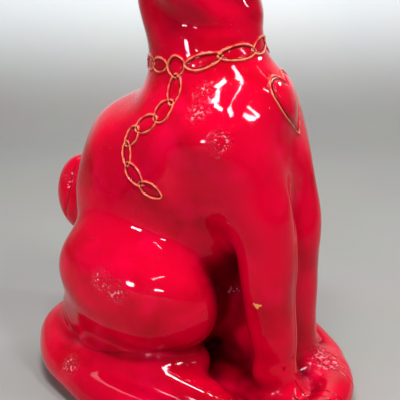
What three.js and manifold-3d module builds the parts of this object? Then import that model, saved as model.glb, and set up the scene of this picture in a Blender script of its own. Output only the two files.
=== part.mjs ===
// A seated cat in glazed pottery, fired as one piece: upright, looking ahead, with a clay chain
// collar whose loose end trails down the near shoulder, a heart in raised outline on the chest,
// a curl on the back and a thick tail that lies round the feet.
//
// Millimetres, +Z up. The cat looks along +X and its left side is +Y. The body is one smooth
// field of rounded clay forms pressed together; its surface is faceted on a grid whose lines
// stand closer where the modelling is finer, and the coils of clay are then laid on it.

import * as THREE from "three";
import { mergeVertices } from "three/addons/utils/BufferGeometryUtils.js";
import Module from "manifold-3d";

const SIDES = [-1, 1];

// Trunk: each form has a centre, radii, a nose-up pitch in degrees and the width of the blend
// that joins it to what stands before it.
const TRUNK = [
  { at: [-39, 0, 88], radii: [67, 63, 90], blend: 0 },
  { at: [-24, 0, 160], radii: [79, 62, 72], pitch: -16, blend: 36 },
  { at: [20, 0, 200], radii: [52, 56, 58], blend: 34 },
  { at: [29, 0, 225], radii: [42, 42, 34], blend: 12 },
  { at: [43.5, 0, 176], radii: [28, 24, 44], blend: 14 },
];

// Neck: it narrows to the collar and widens again into the head, mm.
const NECK_STATIONS = [
  [6, 0, 222, 42],
  [5, 0, 265, 41.5],
  [-3, 0, 302, 42],
];
const NECK_BLEND = 14;

// Head, about 105 mm wide over the cheeks.
const SKULL = { at: [0, 0, 334], radii: [55, 54, 41], blend: 0 };
const JAW = { at: [4, 0, 302], radii: [36, 36, 22], blend: 10 };
const CHIN = { at: [29, 0, 290], radii: [16, 18, 10], blend: 8 };
const NOSE_BRIDGE = { at: [36, 0, 329], radii: [25, 15, 18], blend: 12 };
const NOSE_TIP = { at: [57, 0, 326], radii: [6, 8, 5], blend: 2.5 };
const CHEEK = { at: [4, 23, 312], radii: [28, 26, 22], pitch: -10, blend: 8 };
const JOWL = { at: [16, 28, 292], radii: [28, 14.5, 12.5], yaw: -38, pitch: -27, blend: 12 };
const WHISKER_PAD = { at: [39, 10, 316], radii: [17, 14, 10.5], blend: 4.5 };
const BROW = { at: [34, 21, 354], radii: [20, 17, 8], yaw: 24, pitch: -20, blend: 9 };
const EYE = { at: [40, 22, 342], radii: [13, 14, 8.5], yaw: 30, blend: 1.5 };
const HEAD_BLEND = 5;

// Ear: a flat horn with a hollow front.
const EAR = {
  root: [-6, 32, 350],
  tip: [-9, 8, 40],
  rootRadius: 30,
  tipRadius: 7,
  flatness: 1.5,
  yaw: 22,
  blend: 9,
};
const EAR_HOLLOW = { root: [26, 0, 6], tip: [9, 7, 33], rootRadius: 20, tipRadius: 4, blend: 3 };

// Front legs, from the shoulder to the wrist, on the +Y side.
const LEG_STATIONS = [
  [34, 30, 206, 33],
  [50, 24.5, 175, 29.5],
  [67, 22.5, 132, 22.3],
  [69.5, 20.5, 94, 20.3],
  [75, 20, 55, 16.2],
  [77, 21, 34, 14.8],
];
const LEG_BLEND = 11;
const PAW = { at: [84, 23, 11], radii: [23, 19, 16], blend: 8 };
const KNUCKLE_RIDGE = [
  [77, 21, 30, 15],
  [90, 23, 12, 12],
];
const FRONT_TOES = { x: 99, y: 23, z: 11, spacing: 8.6, radii: [13, 6.2, 7.1] };

// Clay left between and behind the legs, where the mould could not reach in.
const WEBS = [
  { at: [44, 8, 62], radii: [34, 10, 74], blend: 12 },
  { at: [64, 4, 20], radii: [18, 16, 30], blend: 7 },
  { at: [0, 0, 8], radii: [84, 60, 15], blend: 8 },
  { at: [76, 4, 0], radii: [50, 64, 11], blend: 3 },
  { at: [92, 26, 10], radii: [24, 22, 19], blend: 6 },
  { at: [98, 8, 6], radii: [16, 16, 19], blend: 6 },
];

// Haunches and hind feet, on the +Y side.
const THIGH = { at: [-29, 46, 88], radii: [69, 38, 53], pitch: -13, blend: 12 };
const RUMP = { at: [-62, 38, 54], radii: [42, 31, 38], blend: 12 };
const HOCK = { at: [-6, 43, 33], radii: [38, 24, 21], blend: 10 };
const FOOT_STATIONS = [
  [-50, 62, 23, 23],
  [0, 62, 22, 22],
  [36, 60, 16, 18],
  [50, 58, 12, 14.5],
];
const FOOT_BLEND = 9;
const HIND_TOES = { x: 62, y: 58, z: 9.5, spacing: 7.6, radii: [12, 5.6, 6.4] };
const TOES_PER_PAW = 4;
const TOE_SETBACK = 2.2;
const TOE_BLEND = 2.5;

// Tail: from the rump round the near side, across the toes and up beside the far foot.
const TAIL_STATIONS = [
  [-98, 8, 28, 26],
  [-108, -32, 23, 24.5],
  [-86, -62, 19, 21],
  [-40, -84, 15, 17],
  [10, -92, 13, 15.5],
  [60, -90, 12.5, 14.5],
  [98, -66, 12.5, 14.5],
  [116, -32, 12, 14],
  [117, -6, 12, 13.5],
  [111, 19, 12, 13],
  [100, 40, 12, 12.5],
  [87, 56, 14, 12.5],
  [68, 67, 19, 13],
  [46, 76, 23, 13],
];
const TAIL_BLEND = 8;

// Curl on the middle of the back.
const BACK_CURL = { at: [-110, -4, 137], radii: [25, 22, 34], blend: 5 };

// Grid lines of the faceting: [from, step] pairs and the last line of each axis, mm. The head
// has a closer grid than the body, and the two meet in a level ring under the collar.
const HEAD_FROM_Z = 261;
const NECK_OVERRUN = 18;
const BODY_GRID = [
  { runs: [[-155, 15], [-23, 13], [57, 9.1]], end: 148 },
  { runs: [[-124, 13.5], [-44.5, 9.6], [44.3, 13.5]], end: 124 },
  { runs: [[-34, 9.5], [-5, 8.2], [34, 14.8]], end: 300 },
];
const HEAD_GRID = [
  { runs: [[-84, 12], [14, 6.6]], end: 80 },
  { runs: [[-74, 9.5], [-36, 6.4], [36, 9.5]], end: 74 },
  { runs: [[234, 9], [288, 6.4], [394.5, 9.75]], end: 414 },
];

// Collar: a chain of clay coils round the neck, higher at the throat.
const NECK_CENTRE_X = 5;
const COLLAR_SIDE_Z = 253;
const COLLAR_THROAT_RISE = 13;
// Joints between the links: degrees round the neck from the cat's nose, and how much higher
// than the even line each was laid. The near side is uneven, as it was laid by hand, and the
// far side is spaced evenly up to the joints behind the ring.
const NEAR_JOINTS = [[-77, 1], [-47, 1.2], [-10, -2.8], [17, 3]];
const FAR_JOINTS = { to: 214, links: 7 };
const REAR_JOINTS = [238, 259];
const RING = { angle: -88.4, halfLength: 7.4, halfWidth: 6.9 };
const COIL_RADIUS = 1.5;
const LINK_OVERLAP = 1.5;
const LINK_HALF_WIDTH = 5;
// Loose end of the chain: [x, z] of its joints on the near flank.
const FALL_JOINTS = [
  [7, 246.5],
  [7.8, 229.2],
  [-3.7, 218.1],
  [-19.3, 209.5],
  [-27.5, 198.6],
  [-23.8, 185],
  [-9.8, 173.6],
  [5.5, 167.1],
];
const LINK_STEPS = 6;
const COIL_SIDES = 3;

// Heart in raised outline on the chest: [y, z] from the notch round each lobe to the point.
const HEART_NEAR_EDGE = [
  [3.5, 242.5],
  [-2, 245.6],
  [-8.5, 246],
  [-14.5, 242.5],
  [-17, 236],
  [-14.3, 227.6],
  [-8.3, 219.5],
  [3.5, 210.8],
  [15.5, 203.5],
];
const HEART_FAR_EDGE = [
  [3.5, 242.5],
  [7, 246.5],
  [13, 248.5],
  [20.5, 246.5],
  [26, 240],
  [27.5, 231],
  [24.5, 218],
  [15.5, 203.5],
];
const HEART_EDGE_STEPS = 8;

// Planes outside the cat from which points are moved in until they meet it, mm.
const BEFORE_NECK = 80;
const BEFORE_FLANK = -120;
const BEFORE_CHEST = 160;

const GLAZE = { color: 0xb00a24, roughness: 0.12, metalness: 0 };

// A form is a function that gives the signed distance of a point, negative inside.

function smoothMin(a, b, blend) {
  if (blend <= 0) return Math.min(a, b);
  const overlap = Math.max(blend - Math.abs(a - b), 0) / blend;
  return Math.min(a, b) - (overlap * overlap * blend) / 4;
}

function mirrored([x, y, z], side) {
  return [x, side * y, z];
}

// Yaw turns about Z, then a positive pitch raises the nose.
function turn(yaw, pitch) {
  const about = THREE.MathUtils.degToRad;
  return new THREE.Euler(0, -about(pitch), about(yaw), "ZYX");
}

function ellipsoid({ at, radii: [a, b, c], yaw = 0, pitch = 0 }, side = 1) {
  const place = new THREE.Matrix4().makeRotationFromEuler(turn(side * yaw, pitch));
  const inward = place.setPosition(...mirrored(at, side)).invert();
  const q = new THREE.Vector3();
  return (p) => {
    q.copy(p).applyMatrix4(inward);
    const reach = Math.hypot(q.x / a, q.y / b, q.z / c);
    const slope = Math.hypot(q.x / (a * a), q.y / (b * b), q.z / (c * c));
    return slope > 1e-9 ? (reach * (reach - 1)) / slope : -Math.min(a, b, c);
  };
}

// A cone with round ends between two centres.
function roundCone(start, end, startRadius, endRadius) {
  const axis = new THREE.Vector3().subVectors(end, start);
  const lengthSquared = axis.lengthSq();
  const q = new THREE.Vector3();
  return (p) => {
    q.subVectors(p, start);
    const t = THREE.MathUtils.clamp(q.dot(axis) / lengthSquared, 0, 1);
    return q.addScaledVector(axis, -t).length() - (startRadius + (endRadius - startRadius) * t);
  };
}

// A roll of clay through stations [x, y, z, radius], smooth from one to the next.
function roll(stations, side = 1, stepsPerSpan = 4) {
  const centres = stations.map(([x, y, z]) => new THREE.Vector3(x, side * y, z));
  const radii = stations.map((station, i) => new THREE.Vector2(i, station[3]));
  const path = new THREE.CatmullRomCurve3(centres, false, "catmullrom", 0.5);
  const swell = new THREE.SplineCurve(radii);
  const steps = (stations.length - 1) * stepsPerSpan;
  const cones = [];
  for (let i = 0; i < steps; i++) {
    const [from, to] = [i / steps, (i + 1) / steps];
    const ends = [path.getPoint(from), path.getPoint(to)];
    cones.push(roundCone(...ends, swell.getPoint(from).y, swell.getPoint(to).y));
  }
  return (p) => cones.reduce((least, cone) => Math.min(least, cone(p)), Infinity);
}

// Forms pressed together in order, each with its own blend.
function pressed(members) {
  return (p) => members.reduce((d, { form, blend }) => smoothMin(d, form(p), blend), Infinity);
}

function lump(shape, side = 1) {
  return { form: ellipsoid(shape, side), blend: shape.blend };
}

function toes({ x, y, z, spacing, radii }, side) {
  const middle = (TOES_PER_PAW - 1) / 2;
  return Array.from({ length: TOES_PER_PAW }, (_, i) => {
    const offset = i - middle;
    const at = [x - Math.abs(offset) * TOE_SETBACK, y + offset * spacing, z];
    return { form: ellipsoid({ at, radii }, side), blend: TOE_BLEND };
  });
}

function frontLeg(side) {
  const paw = pressed([
    lump(PAW, side),
    { form: roll(KNUCKLE_RIDGE, side), blend: PAW.blend },
    ...toes(FRONT_TOES, side),
  ]);
  return pressed([
    { form: roll(LEG_STATIONS, side), blend: 0 },
    { form: paw, blend: PAW.blend },
  ]);
}

function hindFoot(side) {
  return pressed([{ form: roll(FOOT_STATIONS, side), blend: 0 }, ...toes(HIND_TOES, side)]);
}

// The ear is a round horn squeezed front to back, less a smaller horn in front of it.
function ear(side) {
  const squeezed = ({ root, tip, rootRadius, tipRadius }) => {
    const ends = [root, tip].map((point) => new THREE.Vector3(...mirrored(point, side)));
    return roundCone(...ends, rootRadius, tipRadius);
  };
  const horn = squeezed({ ...EAR, root: [0, 0, 0] });
  const hollow = squeezed(EAR_HOLLOW);
  const inward = new THREE.Matrix4().makeRotationFromEuler(turn(side * EAR.yaw, 0));
  inward.setPosition(...mirrored(EAR.root, side)).invert();
  const q = new THREE.Vector3();
  return (p) => {
    q.copy(p).applyMatrix4(inward);
    q.x *= EAR.flatness;
    return -smoothMin(-horn(q), hollow(q), EAR_HOLLOW.blend) / EAR.flatness;
  };
}

function head() {
  const members = [SKULL, JAW, CHIN, NOSE_BRIDGE, NOSE_TIP].map((shape) => lump(shape));
  for (const side of SIDES) {
    members.push(...[CHEEK, JOWL, WHISKER_PAD, BROW, EYE].map((shape) => lump(shape, side)));
    members.push({ form: ear(side), blend: EAR.blend });
  }
  return pressed(members);
}

function wholeCat() {
  const members = TRUNK.map((shape) => lump(shape));
  members.push({ form: roll(NECK_STATIONS), blend: NECK_BLEND });
  members.push(...WEBS.map((shape) => lump(shape)));
  for (const side of SIDES) {
    members.push({ form: frontLeg(side), blend: LEG_BLEND });
    members.push(lump(THIGH, side), lump(RUMP, side), lump(HOCK, side));
    members.push({ form: hindFoot(side), blend: FOOT_BLEND });
  }
  members.push({ form: roll(TAIL_STATIONS), blend: TAIL_BLEND }, lump(BACK_CURL));
  members.push({ form: head(), blend: HEAD_BLEND });
  return pressed(members);
}

const catForm = wholeCat();

const SLOPE_STEP = 0.05;

function slopeAt(p) {
  const shifted = (axis, step) => catForm(p.clone().setComponent(axis, p.getComponent(axis) + step));
  const rise = [0, 1, 2].map((axis) => shifted(axis, SLOPE_STEP) - shifted(axis, -SLOPE_STEP));
  return new THREE.Vector3(...rise).divideScalar(2 * SLOPE_STEP);
}

// Grid lines of one axis.
function gridLines({ runs, end }) {
  const lines = [];
  runs.forEach(([from, step], i) => {
    const stop = i + 1 < runs.length ? runs[i + 1][0] : end;
    const count = Math.round((stop - from) / step);
    for (let k = 0; k < count; k++) lines.push(from + (k * (stop - from)) / count);
  });
  lines.push(end);
  return lines;
}

const CORNERS = Array.from({ length: 8 }, (_, i) => [i & 1, (i >> 1) & 1, (i >> 2) & 1]);

// Pairs of corner numbers that share an edge of a cell.
const CELL_EDGES = CORNERS.flatMap((_, i) =>
  [1, 2, 4].filter((bit) => !(i & bit)).map((bit) => [i, i | bit]),
);

// The four corner numbers of each face of a cell, in order round the face.
const CELL_FACES = [0, 1, 2].flatMap((axis) => {
  const [u, v] = [1 << (axis + 1) % 3, 1 << (axis + 2) % 3];
  return [0, 1 << axis].map((base) => [base, base | u, base | u | v, base | v]);
});

// Facets the surface of the field: one vertex in each cell that the surface crosses, and one
// quadrilateral across each grid edge that it crosses.
function facet(form, grid) {
  const [xs, ys, zs] = grid.map(gridLines);
  const [nx, ny, nz] = [xs.length, ys.length, zs.length];
  const index = (i, j, k) => i + nx * (j + ny * k);
  const point = (i, j, k) => new THREE.Vector3(xs[i], ys[j], zs[k]);
  const values = new Float64Array(nx * ny * nz);
  for (let k = 0; k < nz; k++)
    for (let j = 0; j < ny; j++)
      for (let i = 0; i < nx; i++) values[index(i, j, k)] = form(point(i, j, k));

  const eachCell = (visit) => {
    for (let k = 0; k < nz - 1; k++)
      for (let j = 0; j < ny - 1; j++)
        for (let i = 0; i < nx - 1; i++)
          visit(i, j, k, CORNERS.map(([a, b, c]) => index(i + a, j + b, k + c)));
  };

  closeCrevices(values, eachCell);

  const positions = [];
  const vertexOf = new Int32Array(nx * ny * nz).fill(-1);
  eachCell((i, j, k, corners) => {
    const crossings = CELL_EDGES.filter(([a, b]) => values[corners[a]] < 0 !== values[corners[b]] < 0);
    if (!crossings.length) return;
    const centre = new THREE.Vector3();
    for (const [a, b] of crossings) {
      const [va, vb] = [values[corners[a]], values[corners[b]]];
      const [pa, pb] = [a, b].map((n) => point(i + CORNERS[n][0], j + CORNERS[n][1], k + CORNERS[n][2]));
      centre.add(pa.lerp(pb, va / (va - vb)));
    }
    centre.divideScalar(crossings.length);
    vertexOf[index(i, j, k)] = positions.length / 3;
    positions.push(...settled(centre, point(i, j, k), point(i + 1, j + 1, k + 1)).toArray());
  });

  const triangles = [];
  const corner = (n) => new THREE.Vector3().fromArray(positions, 3 * n);
  const addQuad = (a, b, c, d) => {
    const shortWay = corner(a).distanceToSquared(corner(c)) <= corner(b).distanceToSquared(corner(d));
    triangles.push(...(shortWay ? [a, b, c, a, c, d] : [a, b, d, b, c, d]));
  };
  for (let k = 1; k < nz - 1; k++)
    for (let j = 1; j < ny - 1; j++)
      for (let i = 1; i < nx - 1; i++)
        for (let axis = 0; axis < 3; axis++) {
          const step = [0, 0, 0];
          step[axis] = 1;
          const inside = values[index(i, j, k)] < 0;
          if (inside === values[index(i + step[0], j + step[1], k + step[2])] < 0) continue;
          const [u, v] = [[0, 0, 0], [0, 0, 0]];
          u[(axis + 1) % 3] = 1;
          v[(axis + 2) % 3] = 1;
          const around = [[0, 0], [1, 0], [1, 1], [0, 1]].map(([m, n]) =>
            vertexOf[index(i - m * u[0] - n * v[0], j - m * u[1] - n * v[1], k - m * u[2] - n * v[2])],
          );
          addQuad(...(inside ? around : around.reverse()));
        }
  return { positions: new Float32Array(positions), triangles: new Uint32Array(triangles) };
}

// Fills the narrow crevices that would pinch two sheets of the surface into one cell face: on
// a face whose corners alternate in and out, the corners outside are taken in.
function closeCrevices(values, eachCell) {
  const justInside = -0.01;
  for (let changed = true; changed; ) {
    changed = false;
    eachCell((i, j, k, corners) => {
      for (const face of CELL_FACES) {
        const inside = face.map((n) => values[corners[n]] < 0);
        if (inside[0] !== inside[2] || inside[1] !== inside[3] || inside[0] === inside[1]) continue;
        face.forEach((n, m) => {
          if (!inside[m]) values[corners[n]] = justInside;
        });
        changed = true;
      }
    });
  }
}

// Moves a vertex on to the surface, without leaving its cell.
function settled(vertex, lowest, highest) {
  const passes = 4;
  for (let i = 0; i < passes; i++) {
    const slope = slopeAt(vertex);
    vertex.addScaledVector(slope, -catForm(vertex) / Math.max(slope.lengthSq(), 0.25));
    vertex.clamp(lowest, highest);
  }
  return vertex;
}

const wasm = await Module();
wasm.setup();

function solidOf({ positions, triangles }) {
  return new wasm.Manifold(new wasm.Mesh({ numProp: 3, vertProperties: positions, triVerts: triangles }));
}

function solidOfGeometry(geometry) {
  const bare = geometry.clone();
  bare.deleteAttribute("normal");
  bare.deleteAttribute("uv");
  const merged = mergeVertices(bare, 1e-4);
  return solidOf({
    positions: merged.attributes.position.array,
    triangles: new Uint32Array(merged.index.array),
  });
}

function geometryOf(solid) {
  const mesh = solid.getMesh();
  const geometry = new THREE.BufferGeometry();
  geometry.setAttribute("position", new THREE.BufferAttribute(mesh.vertProperties, 3));
  geometry.setIndex(new THREE.BufferAttribute(mesh.triVerts, 1));
  return geometry;
}

// Walks from a point outside towards the cat until it meets the glaze.
function onSurface(from, direction) {
  const p = from.clone();
  const [nearEnough, mostSteps, stride] = [0.01, 200, 0.9];
  for (let i = 0; i < mostSteps && catForm(p) > nearEnough; i++) {
    p.addScaledVector(direction, catForm(p) * stride);
  }
  return p;
}

// A closed coil of clay along a ring of points that already lie on the surface.
function closedCoil(ring) {
  const positions = [];
  ring.forEach((centre, i) => {
    const [before, after] = [ring.at(i - 1), ring[(i + 1) % ring.length]];
    const along = new THREE.Vector3().subVectors(after, before).normalize();
    const out = slopeAt(centre).normalize();
    const across = new THREE.Vector3().crossVectors(along, out).normalize();
    for (let k = 0; k < COIL_SIDES; k++) {
      const angle = (2 * Math.PI * k) / COIL_SIDES;
      const rim = centre.clone().addScaledVector(out, COIL_RADIUS * Math.cos(angle));
      positions.push(...rim.addScaledVector(across, COIL_RADIUS * Math.sin(angle)).toArray());
    }
  });
  const triangles = [];
  for (let i = 0; i < ring.length; i++) {
    const next = (i + 1) % ring.length;
    const vertex = (place, side) => place * COIL_SIDES + (side % COIL_SIDES);
    for (let k = 0; k < COIL_SIDES; k++) {
      const [a, b, c, d] = [vertex(i, k), vertex(i, k + 1), vertex(next, k + 1), vertex(next, k)];
      triangles.push(a, b, c, a, c, d);
    }
  }
  return solidOf({ positions: new Float32Array(positions), triangles: new Uint32Array(triangles) });
}

// A pointed oval round the middle of a stretch from start to end; place gives the point on
// the surface for a way along the stretch and a way across it.
function link(place, halfLength, halfWidth) {
  const ring = [];
  for (let i = 0; i < LINK_STEPS; i++) {
    const angle = (2 * Math.PI * i) / LINK_STEPS;
    const rise = Math.sin(angle);
    const across = halfWidth * rise * Math.abs(rise) ** 0.3;
    ring.push(place(halfLength * Math.cos(angle), across));
  }
  return closedCoil(ring);
}

function collarPoint(degrees, above) {
  const angle = THREE.MathUtils.degToRad(degrees);
  const outward = new THREE.Vector3(Math.cos(angle), Math.sin(angle), 0);
  const height = COLLAR_SIDE_Z + COLLAR_THROAT_RISE * Math.max(Math.cos(angle), 0) ** 2 + above;
  const from = new THREE.Vector3(NECK_CENTRE_X, 0, height).addScaledVector(outward, BEFORE_NECK);
  return onSurface(from, outward.negate());
}

function collarLinks() {
  const farFrom = NEAR_JOINTS.at(-1)[0];
  const step = (FAR_JOINTS.to - farFrom) / FAR_JOINTS.links;
  const far = Array.from({ length: FAR_JOINTS.links }, (_, i) => farFrom + (i + 1) * step);
  const joints = [...NEAR_JOINTS, ...[...far, ...REAR_JOINTS].map((degrees) => [degrees, 0])];
  return joints.slice(1).map(([end, endLift], i) => {
    const [start, startLift] = joints[i];
    const length = collarPoint(start, startLift).distanceTo(collarPoint(end, endLift));
    const place = (along, above) => {
      const way = 0.5 + along / length;
      return collarPoint(start + way * (end - start), above + startLift + way * (endLift - startLift));
    };
    return link(place, length / 2 + LINK_OVERLAP, LINK_HALF_WIDTH);
  });
}

// The ring hangs upright on the near side and takes the loose end.
function ringLink() {
  const { x, y } = collarPoint(RING.angle, 0);
  const degreesPerMm = THREE.MathUtils.radToDeg(1 / Math.hypot(x - NECK_CENTRE_X, y));
  const place = (along, across) => collarPoint(RING.angle + across * degreesPerMm, along);
  return link(place, RING.halfLength, RING.halfWidth);
}

function flankPoint(x, z) {
  return onSurface(new THREE.Vector3(x, BEFORE_FLANK, z), new THREE.Vector3(0, 1, 0));
}

function fallLinks() {
  return FALL_JOINTS.slice(1).map(([endX, endZ], i) => {
    const [startX, startZ] = FALL_JOINTS[i];
    const length = Math.hypot(endX - startX, endZ - startZ);
    const [ux, uz] = [(endX - startX) / length, (endZ - startZ) / length];
    const [middleX, middleZ] = [(startX + endX) / 2, (startZ + endZ) / 2];
    const place = (along, across) =>
      flankPoint(middleX + along * ux - across * uz, middleZ + along * uz + across * ux);
    return link(place, length / 2 + LINK_OVERLAP, LINK_HALF_WIDTH);
  });
}

function heartOutline() {
  const smooth = (edge) => new THREE.CatmullRomCurve3(
    edge.map(([y, z]) => new THREE.Vector3(BEFORE_CHEST, y, z)), false, "catmullrom", 0.5,
  );
  const [near, far] = [smooth(HEART_NEAR_EDGE), smooth(HEART_FAR_EDGE)];
  const ring = [];
  for (let i = 0; i < HEART_EDGE_STEPS; i++) ring.push(near.getPoint(i / HEART_EDGE_STEPS));
  for (let i = 0; i < HEART_EDGE_STEPS; i++) ring.push(far.getPoint(1 - i / HEART_EDGE_STEPS));
  const inwards = new THREE.Vector3(-1, 0, 0);
  return closedCoil(ring.map((point) => onSurface(point, inwards)));
}

// A slab far wider than the cat, between two levels.
function slab(bottom, top) {
  const width = 600;
  const box = new THREE.BoxGeometry(width, width, top - bottom);
  return solidOfGeometry(box.translate(0, 0, (bottom + top) / 2));
}

// The cat in facets, cut level underneath. Body and head each run on past the ring where they
// meet, and are then cut there.
function facetedCat() {
  const wellAbove = 500;
  const untilNeck = (p) => Math.max(catForm(p), p.z - HEAD_FROM_Z - NECK_OVERRUN);
  const fromNeck = (p) => Math.max(catForm(p), HEAD_FROM_Z - NECK_OVERRUN - p.z);
  const body = solidOf(facet(untilNeck, BODY_GRID)).intersect(slab(0, HEAD_FROM_Z));
  const head = solidOf(facet(fromNeck, HEAD_GRID)).intersect(slab(HEAD_FROM_Z, wellAbove));
  return body.add(head);
}

function catFigure() {
  let solid = facetedCat();
  for (const coil of [...collarLinks(), ringLink(), ...fallLinks(), heartOutline()]) solid = solid.add(coil);
  const geometry = geometryOf(solid);
  geometry.computeBoundingBox();
  const middle = geometry.boundingBox.getCenter(new THREE.Vector3());
  geometry.translate(-middle.x, -middle.y, 0);
  geometry.computeVertexNormals();
  const mesh = new THREE.Mesh(geometry, new THREE.MeshStandardMaterial(GLAZE));
  mesh.name = "cat_figure";
  return mesh;
}

const figure = new THREE.Group();
figure.add(catFigure());

export default figure;
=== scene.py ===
"""A seated cat in glossy red glazed pottery, dressed for its portrait.

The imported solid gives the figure's place and size. The clay is made again here from the same
named forms, as one smooth field of pressed lumps and rolls, and its skin is drawn much finer:
the chain of clay coils round the neck and down the flank, the heart on the chest, the toes,
the face, the curl on the back and the small marks of making and use. Lengths of the clay are
in millimetres, and the finished mesh is in metres.
"""

import logging
import math
from dataclasses import dataclass
from enum import Enum
from typing import Callable

import bmesh
import bpy
import numpy as np
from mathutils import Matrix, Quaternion, Vector

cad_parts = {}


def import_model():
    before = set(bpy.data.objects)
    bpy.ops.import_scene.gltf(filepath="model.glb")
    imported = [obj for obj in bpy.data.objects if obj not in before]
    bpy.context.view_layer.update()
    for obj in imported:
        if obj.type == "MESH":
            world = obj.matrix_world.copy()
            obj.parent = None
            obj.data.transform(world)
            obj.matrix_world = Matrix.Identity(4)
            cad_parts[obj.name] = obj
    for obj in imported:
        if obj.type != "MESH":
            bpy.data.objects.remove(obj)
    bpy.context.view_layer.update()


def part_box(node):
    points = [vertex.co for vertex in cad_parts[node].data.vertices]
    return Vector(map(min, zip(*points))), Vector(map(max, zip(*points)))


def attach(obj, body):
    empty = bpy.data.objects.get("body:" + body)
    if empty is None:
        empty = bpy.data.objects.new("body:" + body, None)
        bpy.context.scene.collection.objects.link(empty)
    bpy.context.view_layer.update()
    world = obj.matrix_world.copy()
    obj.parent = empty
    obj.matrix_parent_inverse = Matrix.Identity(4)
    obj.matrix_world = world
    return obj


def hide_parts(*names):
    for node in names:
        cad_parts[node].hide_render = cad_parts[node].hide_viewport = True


Array = np.ndarray
Point = tuple[float, float, float]
Station = tuple[float, float, float, float]

MM = 0.001
NODE = "cat_figure"

log = logging.getLogger("cat")


class Side(Enum):
    """The two flanks of the cat; the loose end of the chain hangs on the near one."""

    NEAR = -1
    FAR = 1


def mirrored(point: Point, side: int) -> Array:
    """Place a point of the far flank on either flank.

    Args:
        point: A point given for the far flank.
        side: 1 for the far flank, -1 for the near one.

    Returns:
        The point with its Y turned over where needed.
    """
    return np.array([point[0], side * point[1], point[2]], float)


def turn(yaw: float, pitch: float) -> Array:
    """Rotation that pitches the nose up and then yaws about Z.

    Args:
        yaw: Degrees about Z, left positive.
        pitch: Degrees, nose up positive.

    Returns:
        A 3 by 3 matrix whose columns are the turned axes.
    """
    a, b = math.radians(yaw), math.radians(pitch)
    about_z = np.array([[math.cos(a), -math.sin(a), 0], [math.sin(a), math.cos(a), 0], [0, 0, 1]])
    about_y = np.array([[math.cos(b), 0, -math.sin(b)], [0, 1, 0], [math.sin(b), 0, math.cos(b)]])
    return about_z @ about_y


def smooth_min(a: Array, b: Array, blend: float) -> Array:
    """Join two distances with a fillet.

    Args:
        a: Signed distances to one form.
        b: Signed distances to the other.
        blend: Width of the fillet; 0 gives a plain union.

    Returns:
        The signed distances to both forms pressed together.
    """
    if blend <= 0:
        return np.minimum(a, b)
    overlap = np.maximum(blend - np.abs(a - b), 0.0) / blend
    return np.minimum(a, b) - overlap * overlap * blend / 4


def bump(s: Array, width: float, power: float = 2.0) -> Array:
    """A bell that is 1 at s = 0.

    Args:
        s: Distances from the middle of the bell.
        width: Distance at which the bell has fallen to about a third.
        power: 2 for a plain bell, more for a flatter top.

    Returns:
        The height of the bell.
    """
    return np.exp(-np.abs(s / width) ** power)


def smooth_through(rows: Array, t: Array) -> tuple[Array, Array]:
    """A smooth curve through points.

    Args:
        rows: The points, one a row.
        t: Ways along it, 0 at the first point and 1 more at each next one.

    Returns:
        The curve's points at those ways, and how they change with t.
    """
    rows = np.vstack([2 * rows[0] - rows[1], rows, 2 * rows[-1] - rows[-2]])
    span = np.minimum(t.astype(int), len(rows) - 4)
    u = (t - span)[:, None]
    a, b, c, d = (rows[span + k] for k in range(4))
    bend = 2 * a - 5 * b + 4 * c - d
    twist = 3 * (b - c) + d - a
    value = b + 0.5 * ((c - a) * u + bend * u**2 + twist * u**3)
    change = 0.5 * ((c - a) + 2 * bend * u + 3 * twist * u**2)
    return value, change


@dataclass(frozen=True)
class Lump:
    """An egg of clay.

    Attributes:
        at: Its centre, for the far flank where there are two.
        radii: Its three half widths.
        yaw: Degrees about Z.
        pitch: Degrees, nose up positive.
        blend: Fillet to what stands before it.
    """

    at: Point
    radii: Point
    yaw: float = 0.0
    pitch: float = 0.0
    blend: float = 0.0

    def least(self, p: Array, side: int) -> Array:
        """A quick distance that is never more than the real one."""
        reach = np.linalg.norm(p - mirrored(self.at, side), axis=1)
        return min(self.radii) * (reach / max(self.radii) - 1)

    def distance(self, p: Array, side: int = 1) -> Array:
        """Signed distances from points to the egg.

        Args:
            p: Points, one a row.
            side: The flank it stands on.

        Returns:
            One distance a point, negative inside.
        """
        q = (p - mirrored(self.at, side)) @ turn(side * self.yaw, self.pitch)
        radii = np.array(self.radii)
        reach = np.linalg.norm(q / radii, axis=1)
        slope = np.linalg.norm(q / radii**2, axis=1)
        safe = np.maximum(slope, 1e-9)
        return np.where(slope > 1e-9, reach * (reach - 1) / safe, -min(self.radii))


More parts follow.
